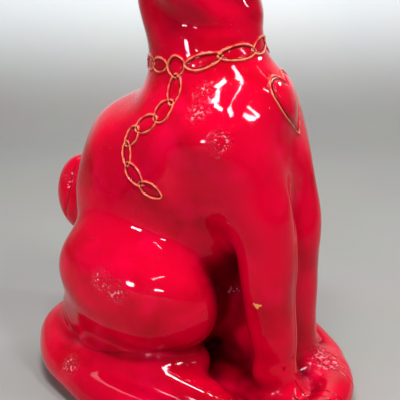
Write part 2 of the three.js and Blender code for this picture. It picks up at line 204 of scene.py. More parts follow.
@dataclass(frozen=True)
class Roll:
    """A roll of clay through stations, smooth from one to the next.

    Attributes:
        stations: Centres and radii (x, y, z, r).
        blend: Fillet to what stands before it.
    """

    stations: tuple[Station, ...]
    blend: float = 0.0

    def rows(self, side: int) -> Array:
        """The stations on one flank, as rows of x, y, z, r."""
        return np.array(self.stations, float) * (1, side, 1, 1)

    def least(self, p: Array, side: int) -> Array:
        """A quick distance that is never more than the real one."""
        rows = self.rows(side)
        slack = rows[:, 3].max() + 2.0
        low, high = rows[:, :3].min(0) - slack, rows[:, :3].max(0) + slack
        return np.linalg.norm(np.maximum(np.maximum(low - p, p - high), 0), axis=1)

    def along(self, t: Array, side: int) -> tuple[Array, Array]:
        """The roll's middle line.

        Args:
            t: Ways along it, 0 at the first station and 1 more at each next one.
            side: The flank.

        Returns:
            Rows of x, y, z, r there, and how they change with t.
        """
        return smooth_through(self.rows(side), t)

    def distance(self, p: Array, side: int = 1) -> Array:
        """Signed distances from points to the roll.

        Args:
            p: Points, one a row.
            side: The flank it lies on.

        Returns:
            One distance a point, negative inside.
        """
        steps_per_span, chunk = 6, 60_000
        end = len(self.stations) - 1
        ways = np.linspace(0, end, end * steps_per_span + 1)
        samples = self.along(ways, side)[0]
        out = np.empty(len(p))
        for first in range(0, len(p), chunk):
            q = p[first : first + chunk]
            squares = (samples[:, :3] ** 2).sum(1) - 2 * q @ samples[:, :3].T
            gaps = np.sqrt(np.maximum(squares + (q**2).sum(1)[:, None], 0)) - samples[:, 3]
            t = ways[gaps.argmin(1)]
            for _ in range(3):
                value, change = self.along(t, side)
                step = ((q - value[:, :3]) * change[:, :3]).sum(1)
                t = np.clip(t + step / (change[:, :3] ** 2).sum(1), 0, end)
            value = self.along(t, side)[0]
            out[first : first + chunk] = np.linalg.norm(q - value[:, :3], axis=1) - value[:, 3]
        return out


@dataclass(frozen=True)
class Horn:
    """A flat ear: a round horn squeezed front to back, less a smaller one in front of it.

    Attributes:
        root: Middle of its foot.
        tip: Way from the foot to the tip.
        radii: Radius at the foot and at the tip, before squeezing.
        hollow_root: Foot of the hollow, from the ear's own foot.
        hollow_tip: Tip of the hollow, from the ear's own foot.
        hollow_radii: Its two radii.
        hollow_blend: How round the hollow's edge is.
        flatness: How many times the horn is thinner than it is wide.
        yaw: Degrees that the ear opens outwards.
        blend: Fillet to the head.
    """

    root: Point
    tip: Point
    radii: tuple[float, float]
    hollow_root: Point
    hollow_tip: Point
    hollow_radii: tuple[float, float]
    hollow_blend: float
    flatness: float
    yaw: float
    blend: float

    def least(self, p: Array, side: int) -> Array:
        """A quick distance that is never more than the real one."""
        reach = np.linalg.norm(p - mirrored(self.root, side), axis=1)
        return (reach - self.tip[2] - self.radii[0]) / self.flatness

    @staticmethod
    def cone(q: Array, ends: tuple[Array, Array], radii: tuple[float, float]) -> Array:
        """Signed distances to a cone with round ends.

        Args:
            q: Points, one a row.
            ends: Its two centres.
            radii: Its two radii.

        Returns:
            One distance a point.
        """
        start, end = ends
        axis = end - start
        t = np.clip((q - start) @ axis / (axis @ axis), 0, 1)
        gap = np.linalg.norm(q - start - t[:, None] * axis, axis=1)
        return gap - (radii[0] + (radii[1] - radii[0]) * t)

    def distance(self, p: Array, side: int = 1) -> Array:
        """Signed distances from points to the ear.

        Args:
            p: Points, one a row.
            side: The flank it stands on.

        Returns:
            One distance a point, negative inside.
        """
        q = (p - mirrored(self.root, side)) @ turn(side * self.yaw, 0)
        q = q * (self.flatness, 1, 1)
        horn = self.cone(q, (np.zeros(3), mirrored(self.tip, side)), self.radii)
        ends = (mirrored(self.hollow_root, side), mirrored(self.hollow_tip, side))
        hollow = self.cone(q, ends, self.hollow_radii)
        return -smooth_min(-horn, hollow, self.hollow_blend) / self.flatness


@dataclass(frozen=True)
class Pressed:
    """Forms pressed together in order.

    Attributes:
        members: The forms.
        blend: Fillet between the whole of them and what stands before them.
    """

    members: tuple
    blend: float = 0.0

    def least(self, p: Array, side: int) -> Array:
        """A quick distance that is never more than the real one."""
        slack = sum(member.blend for member in self.members) / 4
        return np.min([member.least(p, side) for member in self.members], axis=0) - slack

    def distance(self, p: Array, side: int = 1) -> Array:
        """Signed distances from points to all the forms together.

        Args:
            p: Points, one a row.
            side: The flank they stand on.

        Returns:
            One distance a point, negative inside.
        """
        d = np.full(len(p), 1e3)
        for member in self.members:
            near = member.least(p, side) < d + member.blend
            if near.any():
                d[near] = smooth_min(d[near], member.distance(p[near], side), member.blend)
        return d


@dataclass(frozen=True)
class Toes:
    """A row of toes in front of a paw.

    Attributes:
        x: Front to back place of the middle toes.
        y: Place of the row's middle, for the far flank.
        z: Height of their centres.
        spacing: From one toe to the next.
        radii: Half widths of a toe.
        count: How many there are.
        setback: How far each toe stands back for each place from the middle.
        blend: Fillet between them.
    """

    x: float
    y: float
    z: float
    spacing: float
    radii: Point
    count: int = 4
    setback: float = 2.2
    blend: float = 2.5

    def lumps(self) -> tuple[Lump, ...]:
        """The toes, each an egg of clay."""
        middle = (self.count - 1) / 2
        found = []
        for i in range(self.count):
            offset = i - middle
            at = (self.x - abs(offset) * self.setback, self.y + offset * self.spacing, self.z)
            found.append(Lump(at, self.radii, blend=self.blend))
        return tuple(found)

    def creases(self) -> list[float]:
        """The Y of each crease between two toes, for the far flank."""
        middle = (self.count - 2) / 2
        return [self.y + (i - middle) * self.spacing for i in range(self.count - 1)]


@dataclass(frozen=True)
class CatForm:
    """The clay of the whole cat, without its relief. X looks ahead and Z is up."""

    trunk: tuple[Lump, ...] = (
        Lump((-39, 0, 88), (67, 63, 90)),
        Lump((-24, 0, 160), (79, 62, 72), pitch=-16, blend=36),
        Lump((20, 0, 200), (52, 56, 58), blend=34),
        Lump((29, 0, 225), (42, 42, 34), blend=12),
        Lump((43.5, 0, 176), (28, 24, 44), blend=14),
    )
    neck: Roll = Roll(((6, 0, 222, 42), (5, 0, 265, 41.5), (-3, 0, 302, 42)), blend=14)
    webs: tuple[Lump, ...] = (
        Lump((44, 8, 62), (34, 10, 74), blend=12),
        Lump((64, 4, 20), (18, 16, 30), blend=7),
        Lump((0, 0, 8), (84, 60, 15), blend=8),
        Lump((76, 4, 0), (50, 64, 11), blend=3),
        Lump((92, 26, 10), (24, 22, 19), blend=6),
        Lump((98, 8, 6), (16, 16, 19), blend=6),
    )
    leg: Roll = Roll(
        (
            (34, 30, 206, 33),
            (50, 24.5, 175, 29.5),
            (67, 22.5, 132, 22.3),
            (69.5, 20.5, 94, 20.3),
            (75, 20, 55, 16.2),
            (77, 21, 34, 14.8),
        )
    )
    leg_blend: float = 11
    paw: Lump = Lump((84, 23, 11), (23, 19, 16))
    knuckles: Roll = Roll(((77, 21, 30, 15), (90, 23, 12, 12)), blend=8)
    front_toes: Toes = Toes(99, 23, 11, 8.6, (13, 6.2, 7.1))
    paw_blend: float = 8
    thigh: Lump = Lump((-29, 46, 88), (69, 38, 53), pitch=-13, blend=12)
    rump: Lump = Lump((-62, 38, 54), (42, 31, 38), blend=12)
    hock: Lump = Lump((-6, 43, 33), (38, 24, 21), blend=10)
    foot: Roll = Roll(((-50, 62, 23, 23), (0, 62, 22, 22), (36, 60, 16, 18), (50, 58, 12, 14.5)))
    hind_toes: Toes = Toes(62, 58, 9.5, 7.6, (12, 5.6, 6.4))
    foot_blend: float = 9
    tail: Roll = Roll(
        (
            (-98, 8, 28, 26),
            (-108, -32, 23, 24.5),
            (-86, -62, 19, 21),
            (-40, -84, 15, 17),
            (10, -92, 13, 15.5),
            (60, -90, 12.5, 14.5),
            (98, -66, 12.5, 14.5),
            (116, -32, 12, 14),
            (117, -6, 12, 13.5),
            (111, 19, 12, 13),
            (100, 40, 12, 12.5),
            (87, 56, 14, 12.5),
            (68, 67, 19, 13),
            (46, 76, 23, 13),
        ),
        blend=8,
    )
    back_curl: Lump = Lump((-110, -4, 137), (25, 22, 34), blend=5)
    head_core: tuple[Lump, ...] = (
        Lump((0, 0, 334), (55, 54, 41)),
        Lump((4, 0, 302), (36, 36, 22), blend=10),
        Lump((29, 0, 290), (16, 18, 10), blend=8),
        Lump((36, 0, 329), (25, 15, 18), blend=12),
        Lump((57, 0, 326), (6, 8, 5), blend=2.5),
    )
    head_pairs: tuple = (
        Lump((4, 23, 312), (28, 26, 22), pitch=-10, blend=8),
        Lump((16, 28, 292), (28, 14.5, 12.5), yaw=-38, pitch=-27, blend=12),
        Lump((39, 10, 316), (17, 14, 10.5), blend=4.5),
        Lump((34, 21, 354), (20, 17, 8), yaw=24, pitch=-20, blend=9),
        Lump((40, 22, 342), (13, 14, 8.5), yaw=30, blend=1.5),
        Horn(
            root=(-6, 32, 350),
            tip=(-9, 8, 40),
            radii=(30, 7),
            hollow_root=(26, 0, 6),
            hollow_tip=(9, 7, 33),
            hollow_radii=(20, 4),
            hollow_blend=3,
            flatness=1.5,
            yaw=22,
            blend=9,
        ),
    )
    head_blend: float = 5
    sway: float = 0.35

    def limbs(self) -> tuple:
        """The forms that stand on both flanks, in order."""
        paw = Pressed((self.paw, self.knuckles, *self.front_toes.lumps()), blend=self.paw_blend)
        front = Pressed((self.leg, paw), blend=self.leg_blend)
        hind = Pressed((self.foot, *self.hind_toes.lumps()), blend=self.foot_blend)
        return front, self.thigh, self.rump, self.hock, hind

    def head(self, p: Array) -> Array:
        """Signed distances to the head with its ears."""
        d = Pressed(self.head_core).distance(p)
        for side in Side:
            for form in self.head_pairs:
                near = form.least(p, side.value) < d + form.blend
                if near.any():
                    d[near] = smooth_min(d[near], form.distance(p[near], side.value), form.blend)
        return d

    def ripple(self, p: Array) -> Array:
        """The slight unevenness that hands leave in smoothed clay."""
        waves = (((0.11, 0.05, 0.04), 0.3), ((-0.05, 0.12, 0.06), 1.9), ((0.04, -0.07, 0.13), 4.1))
        total = sum(np.sin(p @ np.array(way) + phase) for way, phase in waves)
        return self.sway * total

    def distance(self, p: Array) -> Array:
        """Signed distances from points to the cat.

        Args:
            p: Points, one a row.

        Returns:
            One distance a point, negative inside.
        """
        d = Pressed((*self.trunk, self.neck, *self.webs)).distance(p)

        def press(form: object, blend: float, side: int = 1) -> None:
            near = form.least(p, side) < d + blend
            if near.any():
                d[near] = smooth_min(d[near], form.distance(p[near], side), blend)

        for side in Side:
            for form in self.limbs():
                press(form, form.blend, side.value)
        press(self.tail, self.tail.blend)
        press(self.back_curl, self.back_curl.blend)
        high = p[:, 2] > 255
        if high.any():
            d[high] = smooth_min(d[high], self.head(p[high]), self.head_blend)
        return d + self.ripple(p)

    def slope(self, p: Array) -> Array:
        """How the distance changes at each point, along X, Y and Z."""
        step = 0.05
        here = self.distance(p)
        return np.stack([(self.distance(p + step * np.eye(3)[k]) - here) / step for k in range(3)], axis=1)

    def hollow(self, p: Array, out: Array) -> Array:
        """How shut in points of the skin are.

        Args:
            p: The points, one a row.
            out: The way out of the skin at each.

        Returns:
            0 on open skin to 1 deep in a fold or recess.
        """
        reaches = (6, 14, 30, 60)
        shut = [np.clip(1 - self.distance(p + reach * out) / reach, 0, 1) for reach in reaches]
        return np.mean(shut, axis=0)

    def land(self, start: Array, way: Array) -> Array:
        """Move points along a direction until they meet the clay.

        Args:
            start: Points outside, one a row.
            way: Unit directions, one a row or one for all.

        Returns:
            The points on the skin.
        """
        p = start.astype(float).copy()
        for _ in range(60):
            p += way * (self.distance(p) * 0.9)[:, None]
        return p


@dataclass
class Touch:
    """What the relief does at each point of the skin.

    Attributes:
        rise: How far the clay stands proud, mm.
        thin: 1 where the glaze has drawn thin over a ridge.
        pool: 1 where it pools deep and dark in a groove.
        bare: 1 where it has chipped away.
        pitted: 1 where the glaze is full of pits from boiling, which carry pale specks of painted glint.
        hollow: 0 on open skin and 1 deep in a fold or recess, also raised in patches; the glaze colour is
            darkened there as painted shade.
    """

    rise: Array
    thin: Array
    pool: Array
    bare: Array
    pitted: Array
    hollow: Array

    @classmethod
    def blank(cls, count: int) -> "Touch":
        """Clay with no relief at a number of points."""
        return cls(*(np.zeros(count) for _ in range(6)))


@dataclass(frozen=True)
class Outline:
    """A line laid on the skin, with its inside where it is closed.

    Attributes:
        middle: Point on the skin that the line lies round.
        axes: Rows: the two directions of the line's plane, and the way out of the skin.
        flat: The line's points in that plane, mm.
        closed: Whether the last point joins the first.
        margin: How far from the line its touch reaches, mm.
    """

    middle: Array
    axes: Array
    flat: Array
    closed: bool = True
    margin: float = 6.0

    @classmethod
    def through(cls, points: Array, way_out: Array, closed: bool = True) -> "Outline":
        """Lay a line through points of the skin.

        Args:
            points: The points, one a row.
            way_out: Direction that leaves the skin there.
            closed: Whether the line is a ring.

        Returns:
            The outline in its own plane.
        """
        middle = (points.min(0) + points.max(0)) / 2
        out = way_out / np.linalg.norm(way_out)
        first = np.cross((0, 0, 1), out)
        first /= np.linalg.norm(first)
        axes = np.stack([first, np.cross(out, first), out])
        return cls(middle, axes, (points - middle) @ axes[:2].T, closed)

    def near(self, p: Array) -> Array:
        """Which points lie within reach of the line."""
        reach = np.linalg.norm(self.flat, axis=1).max() + self.margin
        return np.linalg.norm(p - self.middle, axis=1) < reach

    def signed(self, p: Array) -> Array:
        """Distances to the line in its plane, negative inside a ring.

        Args:
            p: Points near the line, one a row.

        Returns:
            One distance a point.
        """
        q = (p - self.middle) @ self.axes[:2].T
        starts, ends = self.flat, np.roll(self.flat, -1, axis=0)
        if not self.closed:
            starts, ends = starts[:-1], ends[:-1]
        gap = np.full(len(q), 1e3)
        crossings = np.zeros(len(q), int)
        for a, b in zip(starts, ends):
            along = b - a
            t = np.clip((q - a) @ along / max(along @ along, 1e-9), 0, 1)
            gap = np.minimum(gap, np.linalg.norm(q - a - t[:, None] * along, axis=1))
            spans = (a[1] > q[:, 1]) != (b[1] > q[:, 1])
            if spans.any():
                crossing_x = a[0] + (q[:, 1] - a[1]) / (b[1] - a[1] or 1e-9) * along[0]
                crossings += spans & (q[:, 0] < crossing_x)
        return np.where(crossings % 2 == 1, -gap, gap) if self.closed else gap


@dataclass(frozen=True)
class CoilStyle:
    """How a thin coil of clay lies on the skin.

    Attributes:
        height: How proud the coil stands.
        width: Its half width.
        groove: Depth of the groove along its inner edge.
        groove_at: Where that groove lies, inwards from the coil.
        groove_width: Its half width.
        outer_groove: Depth of the shallower groove outside.
        pillow: How much the clay inside the ring swells.
    """

    height: float = 1.35
    width: float = 0.76
    groove: float = 0.9
    groove_at: float = 1.4
    groove_width: float = 0.52
    outer_groove: float = 0.35
    pillow: float = 0.3

    def press(self, s: Array, p: Array, place: Array, touch: Touch) -> None:
        """Add the coil's touch at points a distance s from it.

        Args:
            s: Distances to the coil, negative inside.
            p: The points.
            place: Numbers of those points in the touch.
            touch: The touch to add to.
        """
        uneven = 0.5 + 0.5 * np.sin(p @ (0.5, 0.4, 0.45)) * np.sin(p @ (0.3, 0.3, -0.7) + 1)
        ridge = bump(s, self.width * (0.85 + 0.3 * uneven), 2.6) * (0.75 + 0.35 * uneven)
        inner = bump(s + self.groove_at, self.groove_width)
        outer = bump(s - self.groove_at, self.groove_width)
        swell = self.pillow * np.clip(-s - self.groove_at, 0, 2.5) / 2.5
        sunk = self.groove * inner + self.outer_groove * outer
        old = touch.thin[place]
        touch.rise[place] = np.maximum(
            touch.rise[place] - sunk * (1 - old) + swell * (1 - old), self.height * ridge
        )
        touch.thin[place] = np.maximum(old, bump(s, self.width * 0.8) * (0.4 + 0.75 * uneven))
        touch.pool[place] = np.maximum(touch.pool[place], 0.9 * inner + 0.45 * outer)


@dataclass(frozen=True)
class Chain:
    """The collar chain and its loose end, all of clay coils.

    Attributes:
        neck_x: Front to back place of the neck's middle.
        side_z: Height of the collar at the sides and the back.
        throat_rise: How much higher it lies at the throat.
        near_joints: Where the near links meet: degrees round the neck from the nose, and how
            much higher than the even line each joint was laid.
        far_joints: Last joint and number of the evenly laid links of the far side.
        rear_joints: The joints behind the ring.
        ring_angle: Where the ring hangs, in the same degrees.
        ring: Half height and half width of the ring.
        fall: (x, z) of the loose end's joints on the near flank.
        fall_widths: Half widths of its links.
        collar_width: Half width of a collar link.
        overlap: How far a link reaches past its joints.
    """

    neck_x: float = 5
    side_z: float = 253
    throat_rise: float = 13
    near_joints: tuple[tuple[float, float], ...] = ((-77, 1), (-47, 1.2), (-10, -2.8), (17, 3))
    far_joints: tuple[float, int] = (214, 7)
    rear_joints: tuple[float, ...] = (238, 259)
    ring_angle: float = -88.4
    ring: tuple[float, float] = (7.4, 6.9)
    fall: tuple[tuple[float, float], ...] = (
        (7, 246.5),
        (7.8, 229.2),
        (-3.7, 218.1),
        (-19.3, 209.5),
        (-27.5, 198.6),
        (-23.8, 185),
        (-9.8, 173.6),
        (5.5, 167.1),
    )
    fall_widths: tuple[float, ...] = (5.2, 5.8, 5.6, 5.2, 4.0, 4.8, 4.6)
    collar_width: float = 5.0
    overlap: float = 1.6
    style: CoilStyle = CoilStyle()
    steps: int = 40

    @staticmethod
    def oval(half_length: float, half_width: float, steps: int, wobble: Array) -> Array:
        """A pointed oval, slightly uneven as laid by hand.

        Args:
            half_length: Half its length.
            half_width: Half its width.
            steps: Number of points.
            wobble: Three small numbers that make it uneven.

        Returns:
            Rows of way along and way across.
        """
        turn_of = np.linspace(0, 2 * math.pi, steps, endpoint=False)
        rise = np.sin(turn_of)
        uneven = 1 + wobble[0] * np.sin(2 * turn_of + 9 * wobble[1]) + wobble[2] * np.cos(3 * turn_of)
        across = half_width * rise * np.abs(rise) ** 0.25 * uneven
        return np.stack([half_length * np.cos(turn_of), across], axis=1)

    def collar_points(self, form: CatForm, degrees: Array, above: Array) -> Array:
        """Points of the neck's skin.

        Args:
            form: The clay.
            degrees: Way round the neck from the nose.
            above: Height above the collar's middle line.

        Returns:
            The points, one a row.
        """
        angle = np.radians(degrees)
        outward = np.stack([np.cos(angle), np.sin(angle), np.zeros(len(angle))], axis=1)
        height = self.side_z + self.throat_rise * np.maximum(np.cos(angle), 0) ** 2 + above
        start = np.stack([np.full(len(angle), self.neck_x), np.zeros(len(angle)), height], axis=1)
        return form.land(start + 80 * outward, -outward)

    def outlines(self, form: CatForm) -> list[Outline]:
        """Every link of the chain, laid on the clay.

        Args:
            form: The clay.

        Returns:
            One closed outline a link.
        """
        chance = np.random.default_rng(11)
        found = []
        last, links = self.far_joints
        far = np.linspace(self.near_joints[-1][0], last, links + 1)[1:]
        joints = [*self.near_joints, *((degrees, 0.0) for degrees in (*far, *self.rear_joints))]
        for (start, start_lift), (end, end_lift) in zip(joints, joints[1:]):
            ends = self.collar_points(form, np.array([start, end]), np.array([start_lift, end_lift]))
            length = np.linalg.norm(ends[1] - ends[0])
            wobble = chance.normal(0, 0.05, 3)
            ring = self.oval(length / 2 + self.overlap, self.collar_width, self.steps, wobble)
            way = 0.5 + ring[:, 0] / length
            above = ring[:, 1] + start_lift + way * (end_lift - start_lift)
            points = self.collar_points(form, start + way * (end - start), above)
            middle = math.radians((start + end) / 2)
            found.append(Outline.through(points, np.array([math.cos(middle), math.sin(middle), 0])))
        half_height, half_width = self.ring
        ring = self.oval(half_height, half_width, self.steps, chance.normal(0, 0.03, 3))
        side_point = self.collar_points(form, np.array([self.ring_angle]), np.zeros(1))[0]
        degrees_per_mm = math.degrees(1 / math.hypot(side_point[0] - self.neck_x, side_point[1]))
        points = self.collar_points(form, self.ring_angle + ring[:, 1] * degrees_per_mm, ring[:, 0])
        middle = points.mean(0)
        found.append(Outline.through(points, form.slope(middle[None])[0]))
        for (x0, z0), (x1, z1), width in zip(self.fall, self.fall[1:], self.fall_widths):
            length = math.hypot(x1 - x0, z1 - z0)
            along = np.array([x1 - x0, z1 - z0]) / length
            ring = self.oval(length / 2 + self.overlap, width, self.steps, chance.normal(0, 0.06, 3))
            x = (x0 + x1) / 2 + ring[:, 0] * along[0] - ring[:, 1] * along[1]
            z = (z0 + z1) / 2 + ring[:, 0] * along[1] + ring[:, 1] * along[0]
            start = np.stack([x, np.full(len(x), -120.0), z], axis=1)
            points = form.land(start, np.array([0.0, 1.0, 0.0]))
            middle = points.mean(0)
            found.append(Outline.through(points, form.slope(middle[None])[0]))
        return found


@dataclass(frozen=True)
class Heart:
    """The heart in raised outline on the chest, leaning to the near side.

    Attributes:
        near_edge: (y, z) from the notch round the near lobe to the point.
        far_edge: The same round the far lobe.
        steps: Points on each edge.
        style: How its coil lies.
    """

    near_edge: tuple[tuple[float, float], ...] = (
        (3.5, 242.5),
        (-2, 245.6),
        (-8.5, 246),
        (-14.5, 242.5),
        (-17, 236),
        (-14.3, 227.6),
        (-8.3, 219.5),
        (3.5, 210.8),
        (15.5, 203.5),
    )
    far_edge: tuple[tuple[float, float], ...] = (
        (3.5, 242.5),
        (7, 246.5),
        (13, 248.5),
        (20.5, 246.5),
        (26, 240),
        (27.5, 231),
        (24.5, 218),
        (15.5, 203.5),
    )
    steps: int = 40
    style: CoilStyle = CoilStyle(
        height=1.2, width=0.76, groove=1.4, groove_at=1.8, groove_width=0.9, pillow=0.9
    )

    def outline(self, form: CatForm) -> Outline:
        """The heart's edge, laid on the chest.

        Args:
            form: The clay.

        Returns:
            One closed outline.
        """
        near, far = (self.smooth(edge) for edge in (self.near_edge, self.far_edge))
        y, z = np.concatenate([near[:-1], far[:0:-1]]).T
        start = np.stack([np.full(len(y), 160.0), y, z], axis=1)
        points = form.land(start, np.array([-1.0, 0.0, 0.0]))
        return Outline.through(points, np.array([1.0, 0.0, 0.15]))

    def smooth(self, edge: tuple[tuple[float, float], ...]) -> Array:
        """Points along a smooth curve through an edge's points, one a row."""
        ways = np.linspace(0, len(edge) - 1, self.steps + 1)
        return smooth_through(np.array(edge, float), ways)[0]


class Skin:
    """Draws the skin of the clay as triangles, finer where the relief is fine."""

    def __init__(self, form: CatForm, low: Point, high: Point, cell: float) -> None:
        """Choose the clay and the grid.

        Args:
            form: The clay.
            low: Lowest corner of the grid.
            high: Highest corner of the grid.
            cell: Side of a grid cell, mm.
        """
        self.form = form
        self.low = np.array(low, float)
        self.cell = cell
        self.shape = tuple(np.ceil((np.array(high) - self.low) / cell).astype(int) + 1)

    def values(self) -> Array:
        """Signed distances on the grid, exact near the skin and only signed elsewhere.

        Returns:
            One distance a grid point.
        """
        block = 4
        coarse_shape = tuple(n // block + 2 for n in self.shape)
        places = np.stack(np.indices(coarse_shape).reshape(3, -1), axis=1)
        coarse = self.form.distance(self.low + places * (block * self.cell)).reshape(coarse_shape)
        values = np.empty(self.shape)
        wanted = np.zeros(self.shape, bool)
        reach = 1.4 * block * self.cell
        sign = np.where(coarse < 0, -1e3, 1e3)
        grid = np.indices(self.shape) // block
        values[:] = sign[tuple(grid)]
        close = np.abs(coarse) < reach
        for corner in np.ndindex(2, 2, 2):
            wanted |= close[tuple(grid[k] + corner[k] for k in range(3))]
        chosen = np.argwhere(wanted)
        values[wanted] = self.form.distance(self.low + chosen * self.cell)
        return values

    @staticmethod
    def close_crevices(values: Array) -> None:
        """Take in the outer corners of cell faces whose corners alternate, so no two sheets pinch."""
        just_inside = -0.01
        for _ in range(20):
            changed = False
            for axis in range(3):
                u, v = [k for k in range(3) if k != axis]
                keys = []
                for cu, cv in ((0, 0), (1, 0), (1, 1), (0, 1)):
                    key = [slice(None)] * 3
                    key[u] = slice(1, None) if cu else slice(0, -1)
                    key[v] = slice(1, None) if cv else slice(0, -1)
                    keys.append(tuple(key))
                a, b, c, d = (values[key] < 0 for key in keys)
                odd = (a == c) & (b == d) & (a != b)
                if odd.any():
                    changed = True
                    for key, inner in zip(keys, (a, b, c, d)):
                        part = values[key]
                        part[odd & ~inner] = just_inside
            if not changed:
                return

    def net(self) -> tuple[Array, Array]:
        """One vertex in each cell that the skin crosses, one quadrilateral across each grid edge.

        Returns:
            Vertices in mm and triangles.
        """
        values = self.values()
        self.close_crevices(values)
        inside = values < 0
        corners = list(np.ndindex(2, 2, 2))
        n = np.array(self.shape)
        count = np.zeros(n - 1, int)
        for c in corners:
            count += inside[tuple(slice(c[k], n[k] - 1 + c[k]) for k in range(3))]
        active = (count > 0) & (count < 8)
        cells = np.argwhere(active)
        number = np.full(active.shape, -1)
        number[active] = np.arange(len(cells))
        total, crossings = np.zeros((len(cells), 3)), np.zeros((len(cells), 1))
        for a in corners:
            for axis in range(3):
                if a[axis]:
                    continue
                b = np.array(a) + np.eye(3, dtype=int)[axis]
                va, vb = (values[tuple((cells + c).T)] for c in (np.array(a), b))
                crossed = (va < 0) != (vb < 0)
                t = np.where(crossed, va / np.where(crossed, va - vb, 1), 0)
                point = cells + np.array(a) + t[:, None] * np.eye(3)[axis]
                total += np.where(crossed[:, None], point, 0)
                crossings[:, 0] += crossed
        vertices = self.low + self.cell * total / crossings
        return vertices, self.quads(inside, number, vertices)

    @staticmethod
    def quads(inside: Array, number: Array, vertices: Array) -> Array:
        """Two triangles across each grid edge that the skin crosses.

        Args:
            inside: Which grid points are in the clay.
            number: The vertex number of each cell.
            vertices: The vertices.

        Returns:
            The triangles, facing out.
        """
        found = []
        for axis in range(3):
            u, v = (axis + 1) % 3, (axis + 2) % 3
            key = [slice(1, -1)] * 3
            after = list(key)
            after[axis] = slice(2, None)
            here, there = inside[tuple(key)], inside[tuple(after)]
            for leaving in (True, False):
                edges = np.argwhere((here == leaving) & (there != leaving)) + 1
                ring = []
                for m, k in ((0, 0), (1, 0), (1, 1), (0, 1)):
                    cell = edges.copy()
                    cell[:, u] -= m
                    cell[:, v] -= k
                    ring.append(number[tuple(cell.T)])
                if not leaving:
                    ring.reverse()
                a, b, c, d = ring
                short = np.linalg.norm(vertices[a] - vertices[c], axis=1) <= np.linalg.norm(
                    vertices[b] - vertices[d], axis=1
                )
                first = np.where(short[:, None], np.stack([a, b, c], 1), np.stack([a, b, d], 1))
                second = np.where(short[:, None], np.stack([a, c, d], 1), np.stack([b, c, d], 1))
                found += [first, second]
        return np.concatenate(found)

    def settle(self, vertices: Array, passes: int = 3) -> Array:
        """Move vertices on to the skin.

        Args:
            vertices: Points near it.
            passes: How often to step.

        Returns:
            The points on the skin.
        """
        p = vertices.copy()
        for _ in range(passes):
            slope = self.form.slope(p)
            step = slope * (self.form.distance(p) / np.maximum((slope**2).sum(1), 0.25))[:, None]
            length = np.linalg.norm(step, axis=1, keepdims=True)
            p -= step * np.minimum(1, 0.6 * self.cell / np.maximum(length, 1e-9))
        return p

    @staticmethod
    def edges(triangles: Array) -> tuple[Array, Array]:
        """The edges of a mesh.

        Args:
            triangles: Its triangles.

        Returns:
            Vertex pairs, and for each triangle the numbers of its three edges.
        """
        pairs = np.sort(triangles[:, [[0, 1], [1, 2], [2, 0]]].reshape(-1, 2), axis=1)
        unique, number = np.unique(pairs, axis=0, return_inverse=True)
        return unique, number.reshape(-1, 3)

    def relax(self, vertices: Array, triangles: Array, passes: int = 2) -> Array:
        """Even out the triangles along the skin.

        Args:
            vertices: The vertices.
            triangles: The triangles.
            passes: How often.

        Returns:
            The vertices, back on the skin.
        """
        pairs, _ = self.edges(triangles)
        degree = np.bincount(pairs.ravel(), minlength=len(vertices))[:, None]
        p = vertices
        for _ in range(passes):
            total = np.zeros_like(p)
            for here, there in (pairs.T, pairs.T[::-1]):
                for k in range(3):
                    total[:, k] += np.bincount(here, p[there, k], len(p))
            p = p + 0.5 * (total / degree - p)
        return self.settle(p, 2)

    def refine(
        self, vertices: Array, triangles: Array, wanted: Callable[[Array], Array]
    ) -> tuple[Array, Array]:
        """Split every edge that is longer than it should be at its middle.

        Args:
            vertices: The vertices.
            triangles: The triangles.
            wanted: Gives the longest edge allowed at each point.

        Returns:
            The new vertices and triangles.
        """
        pairs, number = self.edges(triangles)
        middles = vertices[pairs].mean(1)
        length = np.linalg.norm(vertices[pairs[:, 0]] - vertices[pairs[:, 1]], axis=1)
        split = length > wanted(middles)
        fresh = np.full(len(pairs), -1)
        fresh[split] = len(vertices) + np.arange(split.sum())
        vertices = np.concatenate([vertices, self.settle(middles[split], 2)])
        cut = split[number]
        found = [triangles[cut.sum(1) == 0]]
        for first in range(3):
            order = [(first + k) % 3 for k in range(3)]
            one = (cut.sum(1) == 1) & cut[:, first]
            a, b, c = triangles[one][:, order].T
            m = fresh[number[one, first]]
            found += [np.stack([a, m, c], 1), np.stack([m, b, c], 1)]
            two = (cut.sum(1) == 2) & ~cut[:, order[2]]
            a, b, c = triangles[two][:, order].T
            m, k = fresh[number[two, first]], fresh[number[two, order[1]]]
            found += [np.stack([m, b, k], 1)]
            one_way = np.linalg.norm(vertices[a] - vertices[k], axis=1)
            short = one_way <= np.linalg.norm(vertices[m] - vertices[c], axis=1)
            found += [np.where(short[:, None], np.stack([a, m, k], 1), np.stack([a, m, c], 1))]
            found += [np.where(short[:, None], np.stack([a, k, c], 1), np.stack([m, k, c], 1))]
        three = cut.all(1)
        a, b, c = triangles[three].T
        m, k, n = fresh[number[three]].T
        found += [np.stack(s, 1) for s in ((a, m, n), (m, b, k), (n, k, c), (m, k, n))]
        return vertices, np.concatenate(found)


